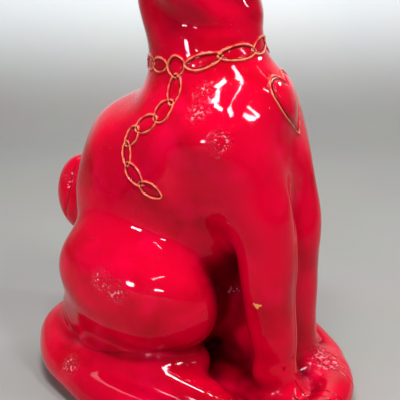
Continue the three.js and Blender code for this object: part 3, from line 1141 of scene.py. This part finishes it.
@dataclass(frozen=True)
class Scoring:
    """A groove drawn in the damp clay with a tool, or a ridge where the depth is negative.

    Attributes:
        points: The points that it passes through, on the skin.
        depth: How deep it is.
        width: Its half width.
        pool: How much dark glaze lies in it.
        thin: How far the glaze has drawn off it.
    """

    points: Array
    depth: float
    width: float
    pool: float = 0.8
    thin: float = 0.0

    def gap(self, p: Array) -> Array:
        """Distances from points to the groove, far ones only roughly."""
        middle = (self.points.min(0) + self.points.max(0)) / 2
        reach = np.linalg.norm(self.points - middle, axis=1).max() + 6
        gap = np.maximum(np.linalg.norm(p - middle, axis=1) - reach + 6, 6.0)
        near = gap <= 6.0
        q = p[near]
        least = np.full(len(q), 1e3)
        for a, b in zip(self.points, self.points[1:]):
            along = b - a
            t = np.clip((q - a) @ along / max(along @ along, 1e-9), 0, 1)
            least = np.minimum(least, np.linalg.norm(q - a - t[:, None] * along, axis=1))
        gap[near] = least
        return gap

    def press(self, p: Array, touch: Touch) -> None:
        """Add the groove's touch.

        Args:
            p: Points of the skin.
            touch: The touch to add to.
        """
        cut = bump(self.gap(p), self.width)
        touch.rise -= self.depth * cut
        touch.pool[:] = np.maximum(touch.pool, self.pool * cut)
        touch.thin[:] = np.maximum(touch.thin, self.thin * cut)


@dataclass(frozen=True)
class Marks:
    """The small marks of making and use, and patches of painted shade.

    Attributes:
        chip_at: Middle of the chip on the near front leg.
        chip_size: Half its width at the top, and its height.
        chip_depth: How much glaze and clay has gone.
        dimple_at: Middle of the dimple low on that leg.
        dimple_radius: Its radius.
        dimple_depth: Its depth.
        scratch: Ends of the scratch above the near thigh.
        patches: Middles and radii of the patches where the glaze is pitted and carries pale specks of
            painted glint.
        painted_shade_patches: Middles and radii of the patches of painted shade, on the flank, under the
            jaw and on the tail and near hind foot.
        painted_shade_depth: How much painted shade they lay, as deep as in a fold.
    """

    chip_at: Point = (70.5, -40.8, 91.1)
    chip_size: tuple[float, float] = (4.1, 4.8)
    chip_depth: float = 0.8
    dimple_at: Point = (88.6, -30.5, 41.4)
    dimple_radius: float = 1.6
    dimple_depth: float = 0.7
    scratch: tuple[Point, Point] = ((-55.6, -69.7, 125.2), (-52.4, -69.4, 128.2))
    patches: tuple[Station, ...] = (
        (29, -46.3, 238.3, 7.5),
        (31, -56.5, 226, 8),
        (51, -59, 208.7, 8),
        (-34, -81, 103, 9),
        (-20, -83, 97, 9),
        (101, 20, 28, 15),
        (33.3, -5.5, 81.7, 8),
        (-62, -89.5, 29, 9),
        (-111, -22, 155, 6),
    )
    # Patches of painted shade on the flank, under the jaw and on the tail and near hind foot.
    painted_shade_patches: tuple[Station, ...] = (
        (-26, -60, 182, 44),
        (13, -41, 284, 24),
        (-30, -96, 28, 40),
        (2, -80, 32, 34),
        (34, -92, 24, 34),
    )
    painted_shade_depth: float = 0.55

    def chipped(self, p: Array) -> Array:
        """How much of the glaze has gone: a wedge, broad above and pointed below."""
        across, up = (p - np.array(self.chip_at))[:, [0, 2]].T
        half_width, height = self.chip_size
        narrowing = np.clip((up + height * 0.6) / height, 0.12, 1)
        edge = half_width * narrowing * (1 + 0.12 * np.sin(3.1 * up) + 0.1 * np.sin(2.3 * across))
        inside = np.clip((edge - np.abs(across)) / 0.4, 0, 1)
        inside *= np.clip((height * 0.42 - up + 0.3 * np.sin(2 * across)) / 0.4, 0, 1)
        inside *= np.clip((up + height * 0.62) / 0.4, 0, 1)
        return inside * (np.abs(p[:, 1] - self.chip_at[1]) < half_width)

    def scratched(self, p: Array) -> Array:
        """How near points are to the scratch, 1 on it."""
        start, end = (np.array(point) for point in self.scratch)
        t = np.clip((p - start) @ (end - start) / ((end - start) @ (end - start)), 0, 1)
        return bump(np.linalg.norm(p - start - t[:, None] * (end - start), axis=1), 0.55)

    def press(self, p: Array, touch: Touch) -> None:
        """Add the chip, the dimple, the scratch, the pitted patches of glaze and the patches of painted
        shade.

        Args:
            p: Points of the skin.
            touch: The touch to add to.
        """
        inside = self.chipped(p)
        touch.rise -= self.chip_depth * inside
        touch.bare[:] = np.maximum(touch.bare, inside)
        hollow = bump(np.linalg.norm(p - np.array(self.dimple_at), axis=1), self.dimple_radius)
        scratch = self.scratched(p)
        touch.rise -= self.dimple_depth * hollow + 0.4 * scratch
        touch.pool[:] = np.maximum(touch.pool, np.maximum(0.7 * hollow, scratch))
        for *middle, radius in self.patches:
            spread = bump(np.linalg.norm(p - np.array(middle), axis=1), radius, 4)
            touch.pitted[:] = np.maximum(touch.pitted, spread)
        # Patches of painted shade, added to the hollow that darkens the glaze colour.
        for *middle, radius in self.painted_shade_patches:
            spread = bump(np.linalg.norm(p - np.array(middle), axis=1), radius, 4)
            touch.hollow[:] = np.maximum(touch.hollow, self.painted_shade_depth * spread)

    def gap(self, p: Array) -> Array:
        """Distances from points to the nearest small mark."""
        spots = [self.chip_at, self.dimple_at, *self.scratch]
        return np.min([np.linalg.norm(p - np.array(spot), axis=1) for spot in spots], axis=0)


@dataclass(frozen=True)
class Folds:
    """Lines where forms meet, which the glaze has filled or drawn away from.

    Attributes:
        under_thigh: Points of the crease under each thigh, from the rump to the knee.
        curl: Points of the fold in the curl on the back.
        leg_edge: Points of the sharp edge down the inside of the near front leg.
        step: Share of a span from one worked out point to the next.
    """

    under_thigh: tuple[Point, ...] = (
        (-96, -56, 59),
        (-86, -63, 51),
        (-73, -68, 42),
        (-51, -76, 39),
        (-17.5, -71, 44.5),
        (7, -66, 51),
        (21, -61, 56),
        (33, -53, 62),
    )
    curl: tuple[Point, ...] = (
        (-109.5, -16, 165.5),
        (-109.2, -20.5, 159),
        (-109.7, -24.5, 149),
        (-111.7, -26.2, 137),
        (-117, -23.7, 122.5),
    )
    leg_edge: tuple[Point, ...] = (
        (77, -6, 172),
        (79.5, -8, 157),
        (83.5, -12, 142),
        (88.3, -17.3, 129),
        (89.3, -17.4, 111),
        (90, -17.2, 90),
        (90.7, -17.6, 72),
        (91.8, -18.4, 53),
        (93.6, -20.2, 36),
    )
    step: float = 0.2

    def laid(self, form: CatForm, points: tuple[Point, ...]) -> Array:
        """A smooth line through points, settled on the skin.

        Args:
            form: The clay.
            points: The points, close to the skin.

        Returns:
            Points of the line, one a row.
        """
        rows = np.array(points, float)
        line = smooth_through(rows, np.arange(0, len(rows) - 1 + self.step / 2, self.step))[0]
        for _ in range(3):
            slope = form.slope(line)
            line = line - form.distance(line)[:, None] * slope / (slope**2).sum(1)[:, None]
        return line

    def scorings(self, form: CatForm) -> list[Scoring]:
        """The folds as grooves, and the leg's edge as a ridge.

        Args:
            form: The clay.

        Returns:
            The grooves.
        """
        crease = self.laid(form, self.under_thigh)
        return [
            Scoring(crease, 0.4, 1.9, 0.5),
            Scoring(self.laid(form, self.curl), 1.2, 2.0, 0.55),
            Scoring(self.laid(form, self.leg_edge), -0.7, 1.3, 0.0, 0.42),
        ]


@dataclass(frozen=True)
class Face:
    """Lines of the face, drawn over the modelled eyes, nose and mouth."""

    eye_at: tuple[float, float] = (22, 342)
    eye_size: tuple[float, float] = (10.5, 5.4)
    eye_slant: float = 14
    mouth_drop: float = 7
    mouth_reach: float = 15
    nose_z: float = 320.5
    nostril: tuple[float, float] = (3.6, 324.5)

    def scorings(self, form: CatForm) -> list[Scoring]:
        """The grooves of the face, laid on the clay.

        Args:
            form: The clay.

        Returns:
            The grooves.
        """

        def laid(y: Array, z: Array) -> Array:
            start = np.stack([np.full(len(y), 110.0), y, z], axis=1)
            return form.land(start, np.array([-1.0, 0.0, 0.0]))

        found = []
        t = np.linspace(0, 2 * math.pi, 40)
        for side in Side:
            slant = math.radians(self.eye_slant)
            wide = self.eye_size[0] * np.cos(t)
            high = self.eye_size[1] * np.sin(t) * np.abs(np.sin(t)) ** 0.25
            y = side.value * (self.eye_at[0] + wide * math.cos(slant) - high * math.sin(slant))
            z = self.eye_at[1] + wide * math.sin(slant) + high * math.cos(slant)
            found.append(Scoring(laid(y, z), 0.7, 0.7, 0.9))
            pupil = self.eye_at[1] + np.linspace(-0.8, 0.8, 9) * self.eye_size[1]
            middle = np.full(len(pupil), side.value * self.eye_at[0])
            found.append(Scoring(laid(middle, pupil), 0.5, 1.3, 1.0))
            u = np.linspace(0, 1, 14)
            y = side.value * self.mouth_reach * u
            z = self.nose_z - self.mouth_drop * (1 - (1 - u) ** 2 * 0.25) - 3 * np.sin(math.pi * u)
            found.append(Scoring(laid(y, z), 0.9, 0.8, 0.9))
            y = np.array([1.0, 1.6]) * side.value * self.nostril[0]
            found.append(Scoring(laid(y, np.full(2, self.nostril[1])), 0.8, 0.8, 1.0))
        drop = np.linspace(self.nose_z, self.nose_z - self.mouth_drop, 8)
        found.append(Scoring(laid(np.zeros(8), drop), 0.8, 0.8, 0.9))
        return found


class Relief:
    """All that is laid on or drawn in the skin."""

    def __init__(self, form: CatForm) -> None:
        """Lay the chain, the heart, the toes' creases and the face on the clay.

        Args:
            form: The clay.
        """
        self.form = form
        self.chain = Chain()
        self.heart = Heart()
        self.marks = Marks()
        self.coils = [(outline, self.chain.style) for outline in self.chain.outlines(form)]
        self.coils.append((self.heart.outline(form), self.heart.style))
        self.scorings = self.toe_creases(form.front_toes, 3.0, 0.7, tuple(Side))
        self.scorings += self.toe_creases(form.hind_toes, 2.5, 0.6, (Side.NEAR,))
        self.scorings += Face().scorings(form)
        self.scorings += Folds().scorings(form)

    def toe_creases(
        self, toes: Toes, lift: float, width: float, sides: tuple[Side, ...]
    ) -> list[Scoring]:
        """The creases between the toes; the tail lies over those of the far hind foot.

        Args:
            toes: The row of toes.
            lift: How far under the toes' middles the point lies that the creases fan from, mm.
            width: Their half width.
            sides: The paws to draw them on.

        Returns:
            The grooves.
        """
        found = []
        angles = np.radians(np.linspace(8, 100, 14))
        for side in sides:
            for y in toes.creases():
                ways = np.stack([np.cos(angles), np.zeros(len(angles)), np.sin(angles)], axis=1)
                middle = np.array([toes.x, side.value * y, toes.z - lift])
                found.append(Scoring(self.form.land(middle + 26 * ways, -ways), 0.8, width, 0.8))
        return found

    def touch(self, p: Array) -> Touch:
        """What the relief does at points of the skin.

        Args:
            p: The points, one a row.

        Returns:
            Its touch there.
        """
        touch = Touch.blank(len(p))
        for outline, style in self.coils:
            near = outline.near(p)
            place = np.flatnonzero(near)
            if len(place):
                style.press(outline.signed(p[place]), p[place], place, touch)
        for scoring in self.scorings:
            scoring.press(p, touch)
        self.marks.press(p, touch)
        return touch

    def gap(self, p: Array) -> Array:
        """Distances from points to the nearest fine work.

        Args:
            p: The points, one a row.

        Returns:
            One distance a point.
        """
        gap = np.minimum(np.full(len(p), 1e3), self.marks.gap(p))
        for outline, _ in self.coils:
            place = np.flatnonzero(outline.near(p))
            if len(place):
                gap[place] = np.minimum(gap[place], np.abs(outline.signed(p[place])))
        for scoring in self.scorings:
            gap = np.minimum(gap, scoring.gap(p))
        return gap


@dataclass(frozen=True)
class Fineness:
    """How long the edges of the skin's triangles may be, mm."""

    head: float = 2.6
    feet: float = 2.8
    work: float = 0.8
    near_work: float = 2.2
    growth: float = 0.55

    def wanted(self, p: Array, relief: Relief) -> Array:
        """The longest edge allowed at each point.

        Args:
            p: The points, one a row.
            relief: The fine work.

        Returns:
            One length a point.
        """
        plain = np.full(len(p), 1e3)
        plain[p[:, 2] > 276] = self.head
        plain[(p[:, 2] < 34) & (p[:, 0] > 44)] = self.feet
        away = np.maximum(relief.gap(p) - self.near_work, 0)
        return np.minimum(plain, self.work + self.growth * away)


@dataclass(frozen=True)
class Glaze:
    """Glossy crimson glaze: thin and orange on ridges, dark where it pools, chipped to the clay, with
    painted shade in its hollows.
    """

    name: str = "red glaze"
    crimson: Point = (0.47, 0.0, 0.016)
    deep: Point = (0.29, 0.0, 0.005)
    bright: Point = (0.60, 0.0, 0.034)
    # Painted shade: the near black that folds, recesses and the shaded patches are darkened towards.
    shade_dark: Point = (0.075, 0.0, 0.004)
    thin: Point = (0.66, 0.185, 0.085)
    pooled: Point = (0.035, 0.003, 0.003)
    clay: Point = (0.72, 0.29, 0.08)
    # Painted glints: the pale specks in the pitted patches.
    glint_specks: Point = (0.80, 0.24, 0.30)
    roughness: float = 0.045
    bare_roughness: float = 0.7
    index: float = 1.3
    specular_tint: Point = (1.0, 0.65, 0.75)
    bare_below: float = 0.0009

    def material(self) -> bpy.types.Material:
        """The glaze as a node material.

        Returns:
            The material.
        """
        made = bpy.data.materials.new(self.name)
        made.use_nodes = True
        nodes, links = made.node_tree.nodes, made.node_tree.links
        nodes.clear()

        def add(kind: str, **values: object) -> bpy.types.Node:
            node = nodes.new(kind)
            for key, value in values.items():
                setattr(node, key, value)
            return node

        def layer(lower: object, upper: Point, factor: object) -> object:
            mix = add("ShaderNodeMix", data_type="RGBA")
            links.new(factor, mix.inputs["Factor"])
            if isinstance(lower, tuple):
                mix.inputs["A"].default_value = (*lower, 1)
            else:
                links.new(lower, mix.inputs["A"])
            mix.inputs["B"].default_value = (*upper, 1)
            return mix.outputs["Result"]

        def ramp(source: object, low: float, high: float, top: float = 1.0) -> object:
            node = add("ShaderNodeMapRange", interpolation_type="SMOOTHSTEP")
            links.new(source, node.inputs["Value"])
            node.inputs["From Min"].default_value = low
            node.inputs["From Max"].default_value = high
            node.inputs["To Max"].default_value = top
            return node.outputs["Result"]

        def noise(scale: float, detail: float, roughness: float = 0.5) -> object:
            node = add("ShaderNodeTexNoise", noise_dimensions="3D")
            node.inputs["Scale"].default_value = scale
            node.inputs["Detail"].default_value = detail
            node.inputs["Roughness"].default_value = roughness
            links.new(place.outputs["Object"], node.inputs["Vector"])
            return node.outputs["Fac"]

        def sensed(name: str) -> object:
            return add("ShaderNodeAttribute", attribute_name=name).outputs["Fac"]

        place = add("ShaderNodeTexCoord")
        shader = add("ShaderNodeBsdfPrincipled")
        output = add("ShaderNodeOutputMaterial")
        links.new(shader.outputs["BSDF"], output.inputs["Surface"])

        mottle = noise(22, 3)
        fleck = noise(900, 1)
        colour = layer(self.crimson, self.deep, ramp(mottle, 0.46, 0.7, 0.75))
        colour = layer(colour, self.bright, ramp(noise(34, 2), 0.5, 0.72, 0.6))
        colour = layer(colour, self.bright, ramp(fleck, 0.72, 0.8, 0.5))
        # Painted shade: folds, recesses and the shaded patches darkened by the hollow attribute.
        colour = layer(colour, self.shade_dark, ramp(sensed("hollow"), 0.25, 0.92, 0.8))
        colour = layer(colour, self.thin, ramp(sensed("thin"), 0.12, 0.8, 0.95))
        colour = layer(colour, self.pooled, ramp(sensed("pool"), 0.25, 0.85, 0.95))
        # Pits in the pitted patches: they roughen the surface and carry painted glints.
        pits_and_glints = add("ShaderNodeMath", operation="MULTIPLY")
        links.new(ramp(noise(420, 1), 0.42, 0.66), pits_and_glints.inputs[0])
        links.new(sensed("pitted"), pits_and_glints.inputs[1])
        # Painted glints: pale specks laid over the pits.
        colour = layer(colour, self.glint_specks, ramp(pits_and_glints.outputs["Value"], 0.6, 0.95, 0.6))
        height = add("ShaderNodeSeparateXYZ")
        links.new(place.outputs["Object"], height.inputs["Vector"])
        bare = add("ShaderNodeMath", operation="MAXIMUM")
        links.new(ramp(sensed("bare"), 0.35, 0.65), bare.inputs[0])
        links.new(ramp(height.outputs["Z"], self.bare_below, self.bare_below / 2), bare.inputs[1])
        colour = layer(colour, self.clay, bare.outputs["Value"])
        links.new(colour, shader.inputs["Base Color"])

        gloss = add("ShaderNodeMapRange")
        links.new(bare.outputs["Value"], gloss.inputs["Value"])
        gloss.inputs["To Min"].default_value = self.roughness
        gloss.inputs["To Max"].default_value = self.bare_roughness
        links.new(gloss.outputs["Result"], shader.inputs["Roughness"])

        peel = add("ShaderNodeBump")
        peel.inputs["Strength"].default_value = 0.2
        peel.inputs["Distance"].default_value = 0.0005
        links.new(noise(110, 1), peel.inputs["Height"])
        pits = add("ShaderNodeBump", invert=True)
        pits.inputs["Strength"].default_value = 0.5
        pits.inputs["Distance"].default_value = 0.0003
        links.new(ramp(noise(700, 0), 0.74, 0.8), pits.inputs["Height"])
        links.new(peel.outputs["Normal"], pits.inputs["Normal"])
        froth = add("ShaderNodeBump", invert=True)
        froth.inputs["Strength"].default_value = 1.0
        froth.inputs["Distance"].default_value = 0.0011
        links.new(pits_and_glints.outputs["Value"], froth.inputs["Height"])
        links.new(pits.outputs["Normal"], froth.inputs["Normal"])
        links.new(froth.outputs["Normal"], shader.inputs["Normal"])
        shader.inputs["IOR"].default_value = self.index
        shader.inputs["Specular Tint"].default_value = (*self.specular_tint, 1)
        return made


@dataclass(frozen=True)
class Fit:
    """Takes lengths of the clay into the frame, so that the figure stands in the solid's place.

    Attributes:
        scale: Very close to 1.
        shift: Way from the clay's own origin to the frame's, mm.
    """

    scale: float
    shift: Array

    @classmethod
    def between(cls, points: Array, box: tuple[Vector, Vector]) -> "Fit":
        """Set points on the middle of a box's foot, and inside it.

        Args:
            points: The clay's points, mm, standing on Z = 0.
            box: Lowest and highest corner of the box, metres.

        Returns:
            The fit.
        """
        low, high = (np.array(corner) / MM for corner in box)
        size = points.max(0) - points.min(0)
        clear = 0.9995
        scale = min(1.0, clear * ((high - low) / size).min())
        shift = (low + high) / 2 - scale * (points.max(0) + points.min(0)) / 2
        shift[2] = low[2]
        return cls(scale, shift)

    def metres(self, points: Array) -> Array:
        """Points of the clay, in metres in the frame."""
        return (points * self.scale + self.shift) * MM


class CatFigure:
    """The one fired piece: the cat with its chain, heart, tail and marks."""

    def __init__(self) -> None:
        """Choose the clay, the fineness and the glaze."""
        self.form = CatForm()
        self.fineness = Fineness()
        self.glaze = Glaze()
        self.cell = 3.6
        self.rounds = 4
        self.settling_height = 3.0

    def shape(self) -> tuple[Array, Array, Array, Touch]:
        """Draw the skin and lay the relief on it.

        Returns:
            Vertices in mm, triangles, a normal for each corner of each triangle and the touch
            at each vertex.
        """
        relief = Relief(self.form)
        skin = Skin(self.form, (-150, -124, -26), (148, 124, 412), self.cell)
        vertices, triangles = skin.net()
        vertices = skin.relax(skin.settle(vertices), triangles)
        for _ in range(self.rounds):
            vertices, triangles = skin.refine(
                vertices, triangles, lambda p: self.fineness.wanted(p, relief)
            )
        vertices = skin.relax(vertices, triangles, 1)
        vertices, triangles = self.levelled(vertices, triangles)
        out = self.form.slope(vertices)
        out /= np.linalg.norm(out, axis=1, keepdims=True)
        fade = np.clip(vertices[:, 2] / self.settling_height, 0, 1)
        touch = relief.touch(vertices)
        # Painted shade: how shut in each point is, which darkens the glaze colour in folds and recesses.
        touch.hollow[:] = np.maximum(touch.hollow, self.form.hollow(vertices, out))
        step = 0.15
        first = np.cross(out, np.where(np.abs(out[:, 2:]) < 0.8, (0, 0, 1), (1, 0, 0)))
        first /= np.linalg.norm(first, axis=1, keepdims=True)
        second = np.cross(out, first)
        normals = out.copy()
        for way in (first, second):
            rise = fade * (relief.touch(vertices + step * way).rise - touch.rise) / step
            normals -= rise[:, None] * way
        normals /= np.linalg.norm(normals, axis=1, keepdims=True)
        touch.rise *= fade
        corners = normals[triangles]
        corners[self.underneath(vertices, triangles)] = (0, 0, -1)
        return vertices + out * touch.rise[:, None], triangles, corners, touch

    @staticmethod
    def underneath(vertices: Array, triangles: Array) -> Array:
        """Which triangles lie flat on the ground."""
        return (np.abs(vertices[triangles][:, :, 2]) < 1e-4).all(1)

    @staticmethod
    def levelled(vertices: Array, triangles: Array) -> tuple[Array, Array]:
        """Cut the clay flat where it stands, and close the cut.

        Args:
            vertices: Points of the skin, mm, some of them below Z = 0.
            triangles: The triangles.

        Returns:
            The vertices and triangles of what stands above Z = 0, with its flat underside.
        """
        mesh = bpy.data.meshes.new("clay")
        mesh.from_pydata(vertices.tolist(), [], triangles.tolist())
        body = bmesh.new()
        body.from_mesh(mesh)
        bpy.data.meshes.remove(mesh)
        everything = body.verts[:] + body.edges[:] + body.faces[:]
        bmesh.ops.bisect_plane(
            body, geom=everything, plane_co=(0, 0, 0), plane_no=(0, 0, -1), clear_outer=True
        )
        rim = [edge for edge in body.edges if edge.is_boundary]
        bmesh.ops.triangle_fill(body, use_beauty=True, edges=rim, normal=(0, 0, -1))
        bmesh.ops.triangulate(body, faces=body.faces[:])
        body.verts.index_update()
        kept = np.array([vertex.co for vertex in body.verts])
        faces = np.array([[vertex.index for vertex in face.verts] for face in body.faces])
        body.free()
        return kept, faces

    def build(self) -> tuple[bpy.types.Object, Fit]:
        """Make the figure and set it where the solid stands.

        Returns:
            The finished object, and the fit between the clay and the frame.
        """
        vertices, triangles, corners, touch = self.shape()
        fit = Fit.between(vertices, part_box(NODE))
        mesh = bpy.data.meshes.new("cat figure")
        mesh.from_pydata(fit.metres(vertices).tolist(), [], triangles.tolist())
        for name in ("thin", "pool", "bare", "pitted", "hollow"):
            layer = mesh.attributes.new(name, "FLOAT", "POINT")
            layer.data.foreach_set("value", getattr(touch, name).astype(np.float32))
        mesh.shade_smooth()
        mesh.normals_split_custom_set(corners.reshape(-1, 3).tolist())
        mesh.materials.append(self.glaze.material())
        figure = bpy.data.objects.new("cat_in_red_glaze", mesh)
        bpy.context.scene.collection.objects.link(figure)
        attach(figure, "root")
        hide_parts(NODE)
        log.info("figure: %d triangles, scale %.4f", len(mesh.polygons), fit.scale)
        return figure, fit


@dataclass(frozen=True)
class Viewpoint:
    """Where the picture is taken from: to the cat's right and above, close by."""

    azimuth: float = 31.0
    elevation: float = 17.0
    distance: float = 540.0
    focal_pixels: float = 700.0
    frame_pixels: float = 400.0
    target: Point = (0, 0, 147)

    def place(self, fit: Fit) -> bpy.types.Object:
        """Set up the camera.

        Args:
            fit: The fit between the clay and the frame.

        Returns:
            The camera.
        """
        a, e = math.radians(self.azimuth), math.radians(self.elevation)
        back = Vector((math.sin(a) * math.cos(e), -math.cos(a) * math.cos(e), math.sin(e)))
        data = bpy.data.cameras.new("camera")
        data.sensor_width = 36
        data.lens = self.focal_pixels / self.frame_pixels * data.sensor_width
        data.clip_start, data.clip_end = 0.02, 20
        camera = bpy.data.objects.new("camera", data)
        bpy.context.scene.collection.objects.link(camera)
        camera.location = fit.metres(np.array(self.target) + np.array(back) * self.distance)
        camera.rotation_mode = "QUATERNION"
        camera.rotation_quaternion = (-back).to_track_quat("-Z", "Y")
        bpy.context.scene.camera = camera
        return camera


@dataclass(frozen=True)
class Backdrop:
    """A plain pale floor that sweeps up behind the figure."""

    floor: Point = (0.22, 0.215, 0.205)
    # Paler than the floor: partly painted light, for the wall being lit more brightly.
    wall: Point = (0.70, 0.73, 0.745)
    wall_from: float = 0.02
    wall_at: float = 0.35
    width: float = 6.0
    front: float = 2.5
    rear: float = 1.25
    bend: float = 0.4
    height: float = 3.0

    def build(self, azimuth: float) -> bpy.types.Object:
        """Make the sweep, square to the view.

        Args:
            azimuth: Degrees that the view is turned.

        Returns:
            The sweep.
        """
        profile = [(-self.front, 0.0), (self.rear - self.bend, 0.0)]
        for degrees in range(10, 90, 10):
            angle = math.radians(degrees)
            depth = self.rear - self.bend + self.bend * math.sin(angle)
            profile.append((depth, self.bend * (1 - math.cos(angle))))
        profile += [(self.rear, self.bend), (self.rear, self.height)]
        vertices = [(x, depth, z) for depth, z in profile for x in (-self.width / 2, self.width / 2)]
        faces = [(2 * i, 2 * i + 1, 2 * i + 3, 2 * i + 2) for i in range(len(profile) - 1)]
        mesh = bpy.data.meshes.new("backdrop")
        mesh.from_pydata(vertices, [], faces)
        mesh.shade_smooth()
        sweep = bpy.data.objects.new("backdrop", mesh)
        sweep.rotation_euler[2] = math.radians(azimuth)
        bpy.context.scene.collection.objects.link(sweep)
        mesh.materials.append(self.material())
        return sweep

    def material(self) -> bpy.types.Material:
        """Matt paint, a little darker on the floor than on the wall, with a faint mottle; the wall's paler
        paint is partly painted light.

        Returns:
            The material.
        """
        made = bpy.data.materials.new("pale backdrop")
        made.use_nodes = True
        nodes, links = made.node_tree.nodes, made.node_tree.links
        shader = nodes["Principled BSDF"]
        place = nodes.new("ShaderNodeTexCoord")
        split = nodes.new("ShaderNodeSeparateXYZ")
        links.new(place.outputs["Object"], split.inputs["Vector"])
        risen = nodes.new("ShaderNodeMapRange")
        risen.interpolation_type = "SMOOTHSTEP"
        links.new(split.outputs["Z"], risen.inputs["Value"])
        risen.inputs["From Min"].default_value = self.wall_from
        risen.inputs["From Max"].default_value = self.wall_at
        # Floor colour to wall colour with height: the paler wall is partly painted light.
        paint = nodes.new("ShaderNodeMix")
        paint.data_type = "RGBA"
        links.new(risen.outputs["Result"], paint.inputs["Factor"])
        paint.inputs["A"].default_value = (*self.floor, 1)
        paint.inputs["B"].default_value = (*self.wall, 1)
        mottle = nodes.new("ShaderNodeTexNoise")
        mottle.inputs["Scale"].default_value = 6
        links.new(place.outputs["Object"], mottle.inputs["Vector"])
        shade = nodes.new("ShaderNodeMix")
        shade.data_type = "RGBA"
        shade.blend_type = "SOFT_LIGHT"
        shade.inputs["Factor"].default_value = 0.08
        links.new(paint.outputs["Result"], shade.inputs["A"])
        links.new(mottle.outputs["Color"], shade.inputs["B"])
        links.new(shade.outputs["Result"], shader.inputs["Base Color"])
        shader.inputs["Roughness"].default_value = 0.8
        return made


@dataclass(frozen=True)
class Lamp:
    """A soft lamp.

    Attributes:
        name: What it is for.
        azimuth: Degrees round what it lights, as for the view.
        elevation: Degrees above it.
        distance: Metres from it.
        size: Width and height, metres.
        power: Watts.
        target: What it lights, metres.
        turned: Degrees that it is turned about its own axis.
    """

    name: str
    azimuth: float
    elevation: float
    distance: float
    size: tuple[float, float]
    power: float
    target: Point = (0, 0, 0.17)
    turned: float = 0.0

    def place(self) -> None:
        """Set up the lamp."""
        a, e = math.radians(self.azimuth), math.radians(self.elevation)
        back = Vector((math.sin(a) * math.cos(e), -math.cos(a) * math.cos(e), math.sin(e)))
        data = bpy.data.lights.new(self.name, "AREA")
        data.shape = "RECTANGLE"
        data.size, data.size_y = self.size
        data.energy = self.power
        lamp = bpy.data.objects.new(self.name, data)
        bpy.context.scene.collection.objects.link(lamp)
        lamp.location = Vector(self.target) + back * self.distance
        lamp.rotation_mode = "QUATERNION"
        spin = Quaternion((0, 0, 1), math.radians(self.turned))
        lamp.rotation_quaternion = (-back).to_track_quat("-Z", "Y") @ spin


@dataclass(frozen=True)
class Studio:
    """Plain soft light."""

    lamps: tuple[Lamp, ...] = (
        Lamp("key", -7, 75, 0.8, (0.27, 0.035), 2.4, turned=25),
        Lamp("key second", 30, 71, 0.8, (0.25, 0.07), 5.6, turned=-24),
        Lamp("strip", 77, 58, 1.0, (0.1, 0.22), 5.2),
        Lamp("crescent", 105, 32, 1.3, (0.045, 0.55), 6, turned=23),
        Lamp("low", -8, 3, 1.3, (0.18, 0.14), 7.5),
        Lamp("low second", 15, 3, 1.3, (0.14, 0.08), 3),
        Lamp("band", 16, 25, 1.3, (0.32, 0.02), 1.5, turned=45),
        Lamp("rear right", 150, 32, 1.3, (0.14, 0.14), 3),
        Lamp("wall", 31, 55, 1.2, (1.6, 0.5), 13.5, target=(-0.64, 1.05, 0.25)),
    )
    sky: Point = (0.80, 0.84, 0.90)
    sky_strength: float = 0.15

    def light(self) -> None:
        """Set up the lamps and the sky, and show colours as a plain camera does."""
        for lamp in self.lamps:
            lamp.place()
        world = bpy.data.worlds.new("studio")
        bpy.context.scene.world = world
        world.use_nodes = True
        sky = world.node_tree.nodes["Background"]
        sky.inputs["Color"].default_value = (*self.sky, 1)
        sky.inputs["Strength"].default_value = self.sky_strength
        bpy.context.scene.view_settings.view_transform = "Standard"


def main() -> None:
    """Build the figure, its backdrop, the camera and the light."""
    logging.basicConfig(level=logging.INFO, format="%(name)s %(message)s")
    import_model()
    figure, fit = CatFigure().build()
    log.info("piece %s", figure.name)
    viewpoint = Viewpoint()
    viewpoint.place(fit)
    Backdrop().build(viewpoint.azimuth)
    Studio().light()


if __name__ == "__main__":
    main()
